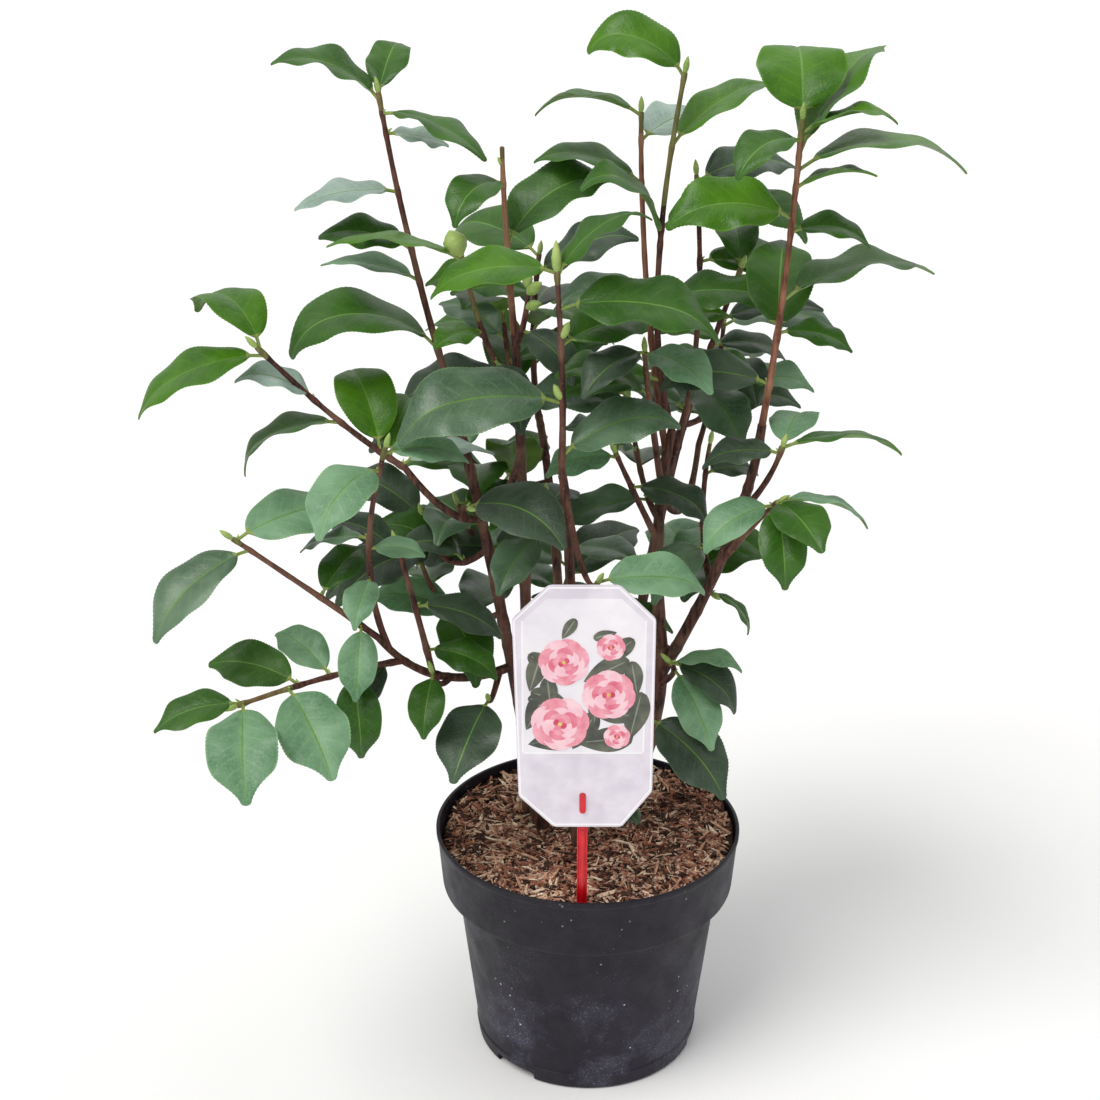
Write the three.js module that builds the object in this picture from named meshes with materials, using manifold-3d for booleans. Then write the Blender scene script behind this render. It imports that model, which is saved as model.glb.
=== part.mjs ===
// Camellia shrub in a round nursery pot, with its picture card on a stick.
// Millimetres, +Z up. The origin is the middle of the pot's underside.
import * as THREE from 'three'
import { mergeVertices } from 'three/addons/utils/BufferGeometryUtils.js'
import Module from 'manifold-3d'

const wasm = await Module()
wasm.setup()

// Clearances between pieces that touch, and between leaves of different shoots
const GAP = 0.3
const LEAF_CLEAR = 6.5
const OWN_CLEAR = 4
const LIMB_CLEAR = 5.5

// Pot
const POT_HEIGHT = 150
const POT_RIM = 95
const POT_FOOT = 70
const POT_WALL = 2.2
const POT_FLOOR = 3
const BAND_FOOT = 112
const BAND_RADIUS = 91
const BODY_TOP = 82.5
const POT_SIDES = 36
const NOTCH_HEADINGS = [229, 109, 349]
const NOTCH = { wide: 30, deep: 12, high: 6 }

// Soil
const SOIL_LEVEL = 142
const SOIL_FLAT = 58
const SOIL_SIDES = 32
const SOIL_HEAP = { rise: 5, heading: 55 }

// Picture card, and the stick that holds it by a slot
const CARD = { wide: 79, high: 150, thick: 0.8, foot: 196, x: -5, y: -85, corner: 20 }
const STICK = { wide: 6, thick: 2.4, foot: 119, top: 222 }
const SLOT = { wide: 4.6, low: 205, high: 218 }

// Leaves
const LEAF_WIDTH = 0.55
const SWELL = [0.64, 0.78]
const LEAF_STEPS = 12
const LEAF_RINGS = [0, 2.4, 6, 9.4]
const LEAF_THICK = 1.3
const PETIOLE_SHARE = 0.115
const PETIOLE_THICK = 2
const FOLD = 14
const LEAF_LEAN = [18, 32]
const LEAF_DROOP = [30, 55]
const TURNS = [0, 10, -10, 20, -20, 32, -32]
const LIFTS = [0, 14, -14, 26]
const SHRINKS = [1, 0.84]

// Stems and buds
const LIMB_SIDES = 8
const LIMB_RINGS = 7
const TWIG_SIDES = 3
const TWIG_RINGS = 6
const TWIG_GIRTH = [2.1, 1.3]
const BUD_SIDES = 5
const BUD_WAIST = 0.36
const TIP_BUD = { length: 9, radius: 2.2 }

const look = (colour, roughness) => new THREE.MeshStandardMaterial({ color: colour, roughness })
const POT_LOOK = look(0x34323a, 0.55)
const SOIL_LOOK = look(0x5a3f2e, 0.95)
const BARK_LOOK = look(0x6b4238, 0.8)
const CARD_LOOK = look(0xe8e2ec, 0.35)
const STICK_LOOK = look(0xd21428, 0.3)
const LEAF_LOOK = look(0x2f5a33, 0.4)

// Canes and boughs. A number pair is a foot on the soil. A name and a place is a
// foot on the side of that limb, and place 1 carries straight on from its tip.
const LIMBS = {
  cane_left: { from: [-29, 6], via: [-57, 0, 317], to: [-83, 10, 434], girth: [4, 2.6] },
  cane_middle: { from: [-36, 25], via: [-40, 24, 356], to: [-44, 20, 458], girth: [3.8, 2.4] },
  cane_front: { from: [-6, -16], via: [-12, -36, 327], to: [-17, -38, 393], girth: [3.4, 2.4] },
  trunk_right: { from: [19, 16], via: [37, 6, 205], to: [44, 6, 268], girth: [6.5, 5.2] },
  cane_right: { from: ['trunk_right', 0.84], via: [80, -11, 341], to: [95, -25, 418], girth: [3.6, 2.5] },
  cane_inner: { from: ['trunk_right', 1], via: [41, 14, 340], to: [48, 20, 401], girth: [4, 2.6] },
  cane_back: { from: [12, 45], via: [44, 50, 333], to: [63, 55, 412], girth: [3.6, 2.4] },
  cane_rear: { from: [-12, 52], via: [-20, 82, 300], to: [-32, 98, 392], girth: [3.4, 2.3] },
  bough_left_upper: { from: ['cane_middle', 0.6], via: [-66, -15, 358], to: [-106, -20, 391],
    girth: [2.5, 1.9] },
  bough_left_lower: { from: ['cane_left', 0.31], via: [-89, -25, 263], to: [-122, -46, 297],
    girth: [2.8, 2] },
  bough_rear: { from: ['cane_back', 0.55], via: [62, 86, 330], to: [72, 112, 362], girth: [2.4, 1.9] },
}

// Leafy shoots. A leaf is a place along the shoot, a heading in degrees from +X towards
// +Y, a rise in degrees and a length, and where they matter its droop, its lean towards
// -Y and its width as a share of its length. A count instead of a list deals them out
// by chance. A bud is a place, a heading, a rise, a length and a radius.
const SHOOTS = {
  left_spire: { from: ['cane_left', 1], via: [-103, 18, 514], to: [-118, 25, 593],
    leaves: [[0.11, 198, 40, 92, 90, 12], [0.35, 177, 22, 52, 30, 10], [0.46, 178, 26, 50, 45],
      [0.66, 190, 5, 54, 30, 14], [0.93, 335, -3, 62, 40, -4], [0.86, 20, -5, 34, 20],
      [0.97, 190, 45, 60, 60], [0.99, 106, 52, 44]] },
  middle_spire: { from: ['cane_middle', 1], via: [-48, 18, 513], to: [-50, 15, 565],
    leaves: [[0.8, 234, 12, 48, 80, 30], [0.46, 18, 58, 72, 75, 26], [0.25, 190, 15, 50]],
    buds: [[0.9, 200, 60, 6, 1.6]] },
  bud_twig: { from: ['cane_middle', 0.82], via: [-57, 8, 450], to: [-73, -5, 511],
    leaves: [[0.97, 185, 24, 70, 42, -4], [0.65, 230, 12, 38], [0.3, 30, 20, 56], [0.45, 300, -30, 46]],
    buds: [[0.99, 150, 60, 15, 6.5], [0.9, 60, 70, 13, 4]] },
  bud_spur: { from: ['cane_middle', 0.94], via: [-38, 8, 470], to: [-36, 4, 490],
    leaves: [[0.3, 320, -12, 44]],
    buds: [[0.98, 100, 70, 12, 4], [0.9, 340, 40, 11, 4.5], [0.7, 330, 20, 10, 4]] },
  front_spire: { from: ['cane_front', 1], via: [-17, -39, 448], to: [-20, -40, 508],
    leaves: [[0.99, 188, 12, 66, 50], [0.97, 20, 55, 62, 60, 2], [0.83, 347, 12, 84], [0.66, 35, 20, 58],
      [0.38, 195, 12, 90], [0.1, 12, 38, 66]],
    buds: [[0.99, 100, 80, 18, 3.5], [0.7, 20, 60, 10, 3.5], [0.4, 170, 60, 10, 3.5]] },
  left_upper_spray: { from: ['bough_left_upper', 1], via: [-141, -30, 422], to: [-182, -42, 467],
    leaves: [[0.98, 138, 62, 64, 116, 4], [0.95, 194, -3, 73, 42, 15], [0.66, 165, 40, 44],
      [0.48, 187, 0, 62, 50, 2], [0.2, 118, 66, 62, 70, 30], [0.12, 75, 50, 50],
      [0.03, 10, 25, 50, 45, 5]] },
  left_upper_tuft: { from: ['bough_left_upper', 0.58], via: [-74, -22, 366], to: [-70, -30, 370],
    leaves: [[0.95, 345, 20, 68, 65, 34]] },
  left_lower_spray: { from: ['bough_left_lower', 1], via: [-156, -58, 330], to: [-197, -70, 367],
    leaves: [[0.98, 35, 18, 66, 35, 34], [0.9, 215, -14, 68, 45, 12], [0.45, 60, 35, 44],
      [0.14, 268, -30, 42]] },
  left_riser: { from: ['bough_left_lower', 0.9], via: [-125, -50, 347], to: [-113, -56, 415],
    leaves: [[0.9, 240, 10, 60, 80, 34], [0.97, 15, 10, 46], [0.6, 170, 2, 40, 40, 5],
      [0.55, 350, 10, 30], [0.4, 240, -6, 36]] },
  left_drooper: { from: ['bough_left_lower', 0.78], via: [-148, -66, 282], to: [-196, -95, 278],
    leaves: [[0.98, 190, 3, 47], [0.97, 277, -16, 60, 35, 24, 0.68], [0.68, 165, 25, 52, 45, 38],
      [0.74, 302, -18, 58, 35, 24, 0.7], [0.5, 150, 35, 44], [0.36, 284, -30, 48, 35],
      [0.1, 258, -20, 40]] },
  left_small_riser: { from: ['bough_left_lower', 0.55], via: [-103, -26, 312], to: [-112, -22, 345],
    leaves: [[0.98, 30, 0, 44], [0.9, 170, 15, 46], [0.45, 5, -4, 52], [0.15, 340, 6, 44]] },
  left_middle_tuft: { from: ['bough_left_lower', 0.42], via: [-88, -34, 262], to: [-92, -40, 272],
    leaves: [[0.95, 262, -20, 39, 40]] },
  left_base_tuft: { from: ['bough_left_lower', 0.08], via: [-58, -18, 246], to: [-60, -27, 248],
    leaves: [[0.95, 250, -12, 56, 40, 20, 0.66]] },
  right_spire: { from: ['cane_right', 1], via: [102, -35, 497], to: [106, -45, 588],
    leaves: [[0.99, 88, 70, 57, 82, 4, 0.83], [0.9, 46, 64, 82, 30, -30], [0.96, 25, 30, 48, 45, 0],
      [0.94, 222, 12, 48, 70], [0.86, 3, 26, 88, 64, 2], [0.81, 345, 30, 40, 45, 0],
      [0.72, 192, 22, 66, 55, 44], [0.68, 0, 15, 42, 60], [0.46, 12, 28, 82, 45, 2], [0.33, 82, 55, 70],
      [0.35, 355, 8, 40], [0.16, 172, 18, 58]] },
  inner_spire: { from: ['cane_inner', 1], via: [37, 10, 487], to: [48, -5, 607],
    leaves: [[0.99, 172, 50, 58, 84, 40], [0.85, 24, 42, 64, 35, 6], [0.66, 15, 30, 50],
      [0.62, 183, 50, 66, 88, 18], [0.47, 340, 14, 66], [0.25, 335, 15, 58], [0.2, 192, 14, 56]] },
  inner_spire_left: { from: ['cane_inner', 0.86], via: [32, 28, 483], to: [27, 30, 582],
    leaves: [[0.99, 183, 26, 58, 55, 0], [0.92, 50, 20, 58, 30, 30], [0.8, 182, 32, 60, 48, 8],
      [0.5, 190, 5, 52], [0.35, 0, 10, 56]] },
  front_tuft: { from: ['cane_inner', 0.7], via: [33, -8, 425], to: [29, -17, 458],
    leaves: [[0.98, 204, 2, 48], [0.96, 330, 8, 50], [0.55, 200, 15, 58]] },
  back_spire: { from: ['cane_back', 1], via: [74, 45, 452], to: [86, 30, 495],
    leaves: [[0.98, 125, 58, 48, 105, 0], [0.95, 60, 40, 48], [0.6, 350, 24, 56], [0.4, 10, 8, 46]] },
  right_low_shoot: { from: ['cane_right', 0.62], via: [98, -30, 386], to: [105, -40, 410],
    leaves: [[0.98, 0, 14, 62, 30, -10], [0.96, 100, 44, 50, 60, 4], [0.9, 185, 10, 42]] },
  right_side_shoot: { from: ['cane_right', 0.42], via: [93, -32, 362], to: [104, -44, 379],
    leaves: [[0.98, 5, 4, 53, 50, -10], [0.95, 272, -26, 50], [0.9, 322, -5, 50, 50, 24, 0.62],
      [0.85, 200, -6, 46]] },
  fork_left_shoot: { from: ['cane_inner', 0.45], via: [24, 0, 372], to: [14, -8, 396],
    leaves: [[0.98, 40, 30, 50], [0.9, 200, 10, 42], [0.5, 5, 20, 50]] },
  front_low: { from: ['cane_front', 0.82], via: [-5, -52, 341], to: [3, -62, 338],
    leaves: [[0.98, 350, 10, 58]] },
  right_low_tuft: { from: ['trunk_right', 0.8], via: [50, -12, 258], to: [48, -18, 268],
    leaves: [[0.98, 336, -8, 47, 50], [0.7, 302, -30, 50, 35], [0.9, 0, 2, 42, 50, 0]] },
  right_low_spur: { from: ['cane_right', 0.24], via: [69, 4, 302], to: [73, 3, 304],
    leaves: [[0.95, 342, -16, 34, 70, -10]] },
  right_foot_leaf: { from: ['trunk_right', 0.7], via: [36, -14, 232], to: [35, -22, 233],
    leaves: [[0.98, 322, -15, 62, 40, 28, 0.62]] },
  middle_low: { from: ['cane_middle', 0.42], via: [-62, 40, 318], to: [-80, 46, 345], leaves: 5 },
  middle_front: { from: ['cane_middle', 0.5], via: [-30, 4, 340], to: [-26, -4, 368],
    leaves: [[0.98, 200, 10, 46], [0.85, 90, 20, 44], [0.5, 240, -5, 48]] },
  middle_rear: { from: ['cane_middle', 0.72], via: [-46, 48, 420], to: [-52, 66, 460], leaves: 6 },
  inner_rear: { from: ['cane_inner', 0.55], via: [32, 40, 365], to: [24, 56, 410], leaves: 6 },
  rear_spire: { from: ['cane_rear', 1], via: [-34, 98, 440], to: [-30, 92, 490], leaves: 7 },
  rear_left: { from: ['cane_rear', 0.7], via: [-58, 92, 345], to: [-84, 92, 375], leaves: 6 },
  rear_low: { from: ['cane_rear', 0.42], via: [-14, 92, 270], to: [-8, 112, 292], leaves: 5 },
  rear_right: { from: ['bough_rear', 1], via: [82, 122, 400], to: [86, 118, 440], leaves: 6 },
  back_right: { from: ['cane_back', 0.4], via: [66, 66, 290], to: [88, 72, 314], leaves: 6 },
  back_side: { from: ['cane_back', 0.8], via: [76, 70, 400], to: [84, 76, 428], leaves: 5 },
  back_tall: { from: ['cane_inner', 0.74], via: [62, 42, 440], to: [60, 46, 545],
    leaves: [[0.98, 20, 25, 60], [0.93, 300, 10, 66], [0.78, 350, 15, 66], [0.62, 155, 8, 62],
      [0.5, 15, 4, 60], [0.4, 300, -5, 56], [0.3, 190, 5, 56]] },
  left_inner: { from: ['cane_left', 0.56], via: [-84, 16, 320], to: [-100, 22, 346], leaves: 6 },
  left_inner_low: { from: ['cane_left', 0.42], via: [-82, 18, 284], to: [-102, 24, 316], leaves: 5 },
  right_inner: { from: ['cane_right', 0.35], via: [68, 22, 345], to: [72, 34, 388],
    leaves: [[0.98, 120, 35, 54], [0.8, 30, 10, 38], [0.62, 155, 25, 56], [0.45, 330, -5, 44],
      [0.28, 200, -10, 54]] },
  inner_low: { from: ['trunk_right', 0.85], via: [28, 26, 262], to: [14, 34, 284],
    leaves: [[0.98, 350, -8, 46], [0.8, 160, 20, 54], [0.7, 60, 25, 50], [0.5, 230, -10, 40]] },
}

const rad = THREE.MathUtils.degToRad
const UP = new THREE.Vector3(0, 0, 1)
const point = (list) => new THREE.Vector3(...list)

// The same run of numbers every time, spread between any two bounds
function chance(seed) {
  let state = seed
  const next = () => {
    state = (state * 48271) % 2147483647
    return state / 2147483647
  }
  next()
  next()
  return (low, high) => low + (high - low) * next()
}

// Closed geometry through rings of points, each as long as the last or a single tip point
function skin(rings) {
  const places = []
  const faces = []
  const starts = rings.map((ring) => {
    const start = places.length / 3
    ring.forEach((p) => places.push(p.x, p.y, p.z))
    return start
  })
  const cap = (ring, start, outward) => {
    for (let i = 1; i + 1 < ring.length; i++) {
      faces.push(...(outward ? [start, start + i, start + i + 1] : [start, start + i + 1, start + i]))
    }
  }
  cap(rings[0], starts[0], false)
  for (let r = 0; r + 1 < rings.length; r++) {
    const count = Math.max(rings[r].length, rings[r + 1].length)
    for (let i = 0; i < count; i++) {
      const j = (i + 1) % count
      const low = (k) => starts[r] + (rings[r].length === 1 ? 0 : k)
      const high = (k) => starts[r + 1] + (rings[r + 1].length === 1 ? 0 : k)
      if (rings[r].length > 1) faces.push(low(i), low(j), high(j))
      if (rings[r + 1].length > 1) faces.push(low(i), high(j), high(i))
    }
  }
  cap(rings.at(-1), starts.at(-1), true)
  const geometry = new THREE.BufferGeometry()
  geometry.setAttribute('position', new THREE.Float32BufferAttribute(places, 3))
  geometry.setIndex(faces)
  return geometry
}

function solid(geometry) {
  const bare = geometry.clone()
  bare.deleteAttribute('normal')
  bare.deleteAttribute('uv')
  const merged = mergeVertices(bare, 1e-4)
  return new wasm.Manifold(
    new wasm.Mesh({
      numProp: 3,
      vertProperties: new Float32Array(merged.attributes.position.array),
      triVerts: new Uint32Array(merged.index.array),
    }),
  )
}

function geometryOf(body) {
  const mesh = body.getMesh()
  const geometry = new THREE.BufferGeometry()
  geometry.setAttribute('position', new THREE.Float32BufferAttribute(mesh.vertProperties, 3))
  geometry.setIndex(new THREE.Uint32BufferAttribute(mesh.triVerts, 1))
  return geometry
}

const shrub = new THREE.Group()

function keep(name, body, material) {
  const geometry = geometryOf(body).toNonIndexed()
  geometry.computeVertexNormals()
  const mesh = new THREE.Mesh(geometry, material)
  mesh.name = name
  shrub.add(mesh)
}

// Pot: a thin shell turned about Z, with a wide band under its rim
function potBody() {
  const outer = [
    [0, 0], [POT_FOOT - 1.2, 0], [POT_FOOT, 1.2], [POT_FOOT + 1.2, 10], [POT_FOOT + 0.7, 11],
    [BODY_TOP, BAND_FOOT], [BAND_RADIUS, BAND_FOOT], [BAND_RADIUS + 0.5, BAND_FOOT + 2],
    [POT_RIM - 0.6, POT_HEIGHT - 3], [POT_RIM, POT_HEIGHT - 2.4], [POT_RIM, POT_HEIGHT - 0.6],
    [POT_RIM - 0.7, POT_HEIGHT],
  ]
  const inner = [
    [POT_RIM - POT_WALL, POT_HEIGHT], [BAND_RADIUS - POT_WALL, BAND_FOOT + POT_WALL],
    [BODY_TOP - POT_WALL, BAND_FOOT], [POT_FOOT - POT_WALL, POT_FLOOR], [0, POT_FLOOR],
  ]
  const profile = [...outer, ...inner].map(([x, y]) => new THREE.Vector2(x, y))
  const turned = new THREE.LatheGeometry(profile, POT_SIDES)
  turned.rotateX(Math.PI / 2)
  let body = solid(turned)
  for (const heading of NOTCH_HEADINGS) {
    const cutter = new THREE.BoxGeometry(NOTCH.deep, NOTCH.wide, NOTCH.high * 2)
    cutter.translate(POT_FOOT, 0, 0)
    cutter.rotateZ(rad(heading))
    body = body.subtract(solid(cutter))
  }
  return body
}

function soilHeight(radius, heading) {
  const out = THREE.MathUtils.smoothstep(radius, SOIL_FLAT, POT_RIM)
  const ripple = 1.2 * Math.sin(5 * heading + radius / 7) + 0.8 * Math.cos(9 * heading - radius / 5)
  return SOIL_LEVEL + out * (SOIL_HEAP.rise * Math.cos(heading - rad(SOIL_HEAP.heading)) + ripple)
}

function soilBody(stick) {
  const ring = (radius, height) => {
    const points = []
    for (let i = 0; i < SOIL_SIDES; i++) {
      const heading = (2 * Math.PI * i) / SOIL_SIDES
      const z = height ?? soilHeight(radius, heading)
      points.push(new THREE.Vector3(radius * Math.cos(heading), radius * Math.sin(heading), z))
    }
    return points
  }
  const inset = POT_WALL + GAP + 0.5
  const rings = [
    ring(POT_FOOT - inset, POT_FLOOR + GAP),
    ring(BODY_TOP - inset - 0.4, BAND_FOOT + 0.6),
    ring(BAND_RADIUS - inset, BAND_FOOT + POT_WALL + GAP + 1),
    ring(POT_RIM - inset - 1.4),
    ring(82),
    ring(70),
    ring(SOIL_FLAT),
    [new THREE.Vector3(0, 0, SOIL_LEVEL)],
  ]
  return solid(skin(rings)).subtract(stick)
}

function box(wide, deep, low, high, x, y) {
  const shape = new THREE.BoxGeometry(wide, deep, high - low)
  shape.translate(x, y, (low + high) / 2)
  return solid(shape)
}

// The stick stands behind the card and its head comes through the card's slot
function stickBody(extra) {
  const y = CARD.y + CARD.thick / 2 + GAP + STICK.thick / 2
  const bar = box(STICK.wide + 2 * extra, STICK.thick + 2 * extra, STICK.foot - extra,
    STICK.top + extra, CARD.x, y)
  const rib = box(2, STICK.thick + 2, STICK.foot, SLOT.low - 16, CARD.x, y)
  const head = box(SLOT.wide - 2 * GAP, 4, SLOT.low + GAP, SLOT.high - GAP, CARD.x, CARD.y)
  return extra ? bar.add(box(2 + 2 * extra, STICK.thick + 2 + 2 * extra, STICK.foot - extra,
    STICK.top, CARD.x, y)) : bar.add(rib).add(head)
}

function cardBody() {
  const half = CARD.wide / 2
  const top = CARD.high
  const cut = CARD.corner
  const outline = new THREE.Shape([
    [-half + cut + 3, 0], [half - cut + 3, 0], [half, cut + 3], [half, top - cut],
    [half - cut, top], [-half + cut, top], [-half, top - cut], [-half + 3, cut],
  ].map(([x, y]) => new THREE.Vector2(x, y)))
  const sheet = new THREE.ExtrudeGeometry(outline, { depth: CARD.thick, bevelEnabled: false })
  sheet.rotateX(Math.PI / 2)
  sheet.translate(CARD.x, CARD.y + CARD.thick / 2, CARD.foot)
  return solid(sheet).subtract(box(SLOT.wide, 6, SLOT.low, SLOT.high, CARD.x, CARD.y))
}

// A smooth path from a foot through a middle point to a tip
function pathThrough(foot, via, tip) {
  const reach = via.clone().multiplyScalar(2).addScaledVector(foot, -0.5).addScaledVector(tip, -0.5)
  return new THREE.QuadraticBezierCurve3(foot, reach, tip)
}

// A tapering stem of flat-sided rings; a ground foot is cut level and flares
function stemBody(path, girth, sides, rings, extra, onGround) {
  const list = []
  let across = new THREE.Vector3(1, 0, 0)
  for (let i = 0; i < rings; i++) {
    const t = i / (rings - 1)
    const ahead = onGround && i === 0 ? UP.clone() : path.getTangent(t)
    across.addScaledVector(ahead, -across.dot(ahead)).normalize()
    const beside = ahead.clone().cross(across)
    const flare = onGround ? 1 + 0.45 * Math.exp(-t * 14) : 1
    const radius = (girth[0] + (girth[1] - girth[0]) * t) * flare + extra
    const centre = path.getPoint(t).addScaledVector(ahead, i === rings - 1 ? extra : 0)
    const ring = []
    for (let k = 0; k < sides; k++) {
      const turn = (2 * Math.PI * k) / sides
      ring.push(centre.clone()
        .addScaledVector(across, radius * Math.cos(turn))
        .addScaledVector(beside, radius * Math.sin(turn)))
    }
    list.push(ring)
  }
  return solid(skin(list))
}

// Where a stem starts: on the soil, or inside the limb it leaves
const footOf = (from, limbs) => typeof from[0] === 'number'
  ? new THREE.Vector3(from[0], from[1], SOIL_LEVEL + GAP)
  : limbs[from[0]].path.getPoint(from[1])

// A stem cut back clear of the limb that it leaves, less the loose scraps
function cutClear(body, parent) {
  const pieces = body.subtract(parent.wide).decompose()
  return pieces.reduce((most, next) => (next.volume() > most.volume() ? next : most))
}

const limbs = {}
for (const [name, plan] of Object.entries(LIMBS)) {
  const onGround = typeof plan.from[0] === 'number'
  const path = pathThrough(footOf(plan.from, limbs), point(plan.via), point(plan.to))
  let body = stemBody(path, plan.girth, LIMB_SIDES, LIMB_RINGS, 0, onGround)
  if (!onGround) body = cutClear(body, limbs[plan.from[0]])
  const wide = stemBody(path, plan.girth, LIMB_SIDES, LIMB_RINGS, GAP * 1.1, onGround)
  limbs[name] = { path, girth: plan.girth, body, wide }
}

// Half the width of a leaf at share s of its blade, as a share of the full half width
function swell(s) {
  const widest = SWELL[0] / (SWELL[0] + SWELL[1])
  const full = widest ** SWELL[0] * (1 - widest) ** SWELL[1]
  return (s ** SWELL[0] * (1 - s) ** SWELL[1]) / full
}

// The midrib of a leaf: its foot in the twig, the petiole's end, then even steps to the tip
function midrib(leaf) {
  const stations = []
  const spot = leaf.foot.clone()
  for (let k = -1; k <= LEAF_STEPS; k++) {
    const s = Math.max(0, k) / LEAF_STEPS
    const rise = rad(leaf.rise + (k < 1 ? 8 : 0) - leaf.droop * s ** 1.3)
    const heading = rad(leaf.heading)
    const level = new THREE.Vector3(Math.cos(heading), Math.sin(heading), 0)
    const ahead = level.clone().multiplyScalar(Math.cos(rise)).addScaledVector(UP, Math.sin(rise))
    if (k >= 0) spot.addScaledVector(ahead, leaf.length * (k ? 1 / LEAF_STEPS : PETIOLE_SHARE))
    const across = UP.clone().cross(level)
    const face = ahead.clone().cross(across)
    const roll = rad(leaf.roll)
    const side = across.clone().multiplyScalar(Math.cos(roll)).addScaledVector(face, Math.sin(roll))
    const normal = face.multiplyScalar(Math.cos(roll)).addScaledVector(across, -Math.sin(roll))
    const half = Math.max((swell(s) * leaf.length * leaf.width) / 2, PETIOLE_THICK / 2)
    stations.push({ centre: spot.clone(), side, normal, half, fold: rad(FOLD * (1 - 0.55 * s)) })
  }
  return stations
}

const edgeOf = (station, sign, share = 1) => station.centre.clone()
  .addScaledVector(station.side, sign * share * station.half * Math.cos(station.fold))
  .addScaledVector(station.normal, share * station.half * Math.sin(station.fold))

function leafBody(leaf) {
  const stations = midrib(leaf)
  const rings = [-1, ...LEAF_RINGS].map((at) => {
    const k = Math.floor(at) + 1
    const share = at + 1 - k
    const beyond = Math.min(k + 1, stations.length - 1)
    const mix = (pick) => pick(stations[k]).lerp(pick(stations[beyond]), share)
    const thick = at <= 0 ? PETIOLE_THICK / 2 : LEAF_THICK / 2
    return [
      mix((s) => edgeOf(s, 1)),
      mix((s) => s.centre.clone().addScaledVector(s.normal, thick)),
      mix((s) => edgeOf(s, -1)),
      mix((s) => s.centre.clone().addScaledVector(s.normal, -thick)),
    ]
  })
  rings.push([stations.at(-1).centre])
  return solid(skin(rings))
}

// A bud: two cones foot to foot, the outer one longer
function budBody(foot, heading, rise, length, radius) {
  const level = new THREE.Vector3(Math.cos(rad(heading)), Math.sin(rad(heading)), 0)
  const across = UP.clone().cross(level)
  const ahead = level.multiplyScalar(Math.cos(rad(rise))).addScaledVector(UP, Math.sin(rad(rise)))
  const beside = ahead.clone().cross(across)
  const waist = []
  for (let k = 0; k < BUD_SIDES; k++) {
    const turn = (2 * Math.PI * k) / BUD_SIDES
    waist.push(foot.clone().addScaledVector(ahead, length * BUD_WAIST)
      .addScaledVector(across, radius * Math.cos(turn))
      .addScaledVector(beside, radius * Math.sin(turn)))
  }
  const start = foot.clone().addScaledVector(ahead, -1)
  return solid(skin([[start], waist, [foot.clone().addScaledVector(ahead, length)]]))
}

// Points all over a leaf's blade, for keeping it clear of its neighbours
function spotsOf(leaf, first = 2) {
  const shares = [-1, -0.67, -0.33, 0, 0.33, 0.67, 1]
  return midrib(leaf).slice(first).flatMap((station) =>
    shares.map((share) => edgeOf(station, Math.sign(share), Math.abs(share))))
}

// Everything placed so far, as small balls that a new leaf must clear
const balls = []
const addStem = (owner, path, girth, count) => {
  for (let i = 0; i <= count; i++) {
    const t = i / count
    balls.push({ spot: path.getPoint(t), reach: LIMB_CLEAR + girth[0] + (girth[1] - girth[0]) * t, owner })
  }
}

function addPotAndCard() {
  for (let i = 0; i < 96; i++) {
    const turn = (2 * Math.PI * i) / 96
    for (const radius of [POT_RIM, 80, 64]) {
      const height = radius === POT_RIM ? POT_HEIGHT : SOIL_LEVEL + 4
      balls.push({
        spot: new THREE.Vector3(radius * Math.cos(turn), radius * Math.sin(turn), height),
        reach: 7, owner: 'pot' })
    }
  }
  for (let x = -CARD.wide / 2; x <= CARD.wide / 2; x += 8) {
    for (let z = CARD.foot; z <= CARD.foot + CARD.high; z += 7.5) {
      balls.push({ spot: new THREE.Vector3(CARD.x + x, CARD.y, z), reach: 7, owner: 'card' })
    }
  }
}

function isClear(leaf, owner) {
  const spots = spotsOf(leaf)
  const outer = spotsOf(leaf, 5)
  const middle = midrib(leaf)[LEAF_STEPS / 2].centre
  return !balls.some((ball) => {
    if (ball.stem === owner) return false
    if (ball.spot.distanceTo(middle) > leaf.length * 0.75 + ball.reach) return false
    const own = ball.owner === owner
    const reach = own ? OWN_CLEAR : ball.reach
    return (own ? outer : spots).some((spot) => spot.distanceTo(ball.spot) < reach)
  })
}

// The first way to hold a leaf near its own heading, rise and length that is clear
function settle(leaf, lean, owner) {
  const { heading, rise, length } = leaf
  for (const shrink of SHRINKS) {
    for (const lift of LIFTS) {
      for (const turn of TURNS) {
        leaf.length = length * shrink
        leaf.rise = rise + lift
        leaf.heading = heading + turn
        leaf.roll = lean * Math.cos(rad(leaf.heading))
        if (isClear(leaf, owner)) return true
      }
    }
  }
  return false
}

for (const [name, limb] of Object.entries(limbs)) {
  addStem(name, limb.path, limb.girth, 60)
  keep(name, limb.body, BARK_LOOK)
}
addPotAndCard()

// Stems of all shoots first, so that no leaf is put where one passes
const shoots = Object.entries(SHOOTS).map(([name, plan], index) => {
  const path = pathThrough(footOf(plan.from, limbs), point(plan.via), point(plan.to))
  const first = balls.length
  const start = plan.from[1] < 1 ? TWIG_GIRTH[0] : Math.min(TWIG_GIRTH[0], limbs[plan.from[0]].girth[1])
  const girth = [start, TWIG_GIRTH[1]]
  addStem(name, path, girth, 30)
  for (const [place, ...bud] of plan.buds ?? []) {
    balls.push({ spot: path.getPoint(place).addScaledVector(UP, bud[2] / 2), reach: LIMB_CLEAR + bud[3] })
  }
  for (const ball of balls.slice(first)) ball.stem = name
  return { name, plan, path, girth, draw: chance(4177 + 613 * index) }
})

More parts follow.
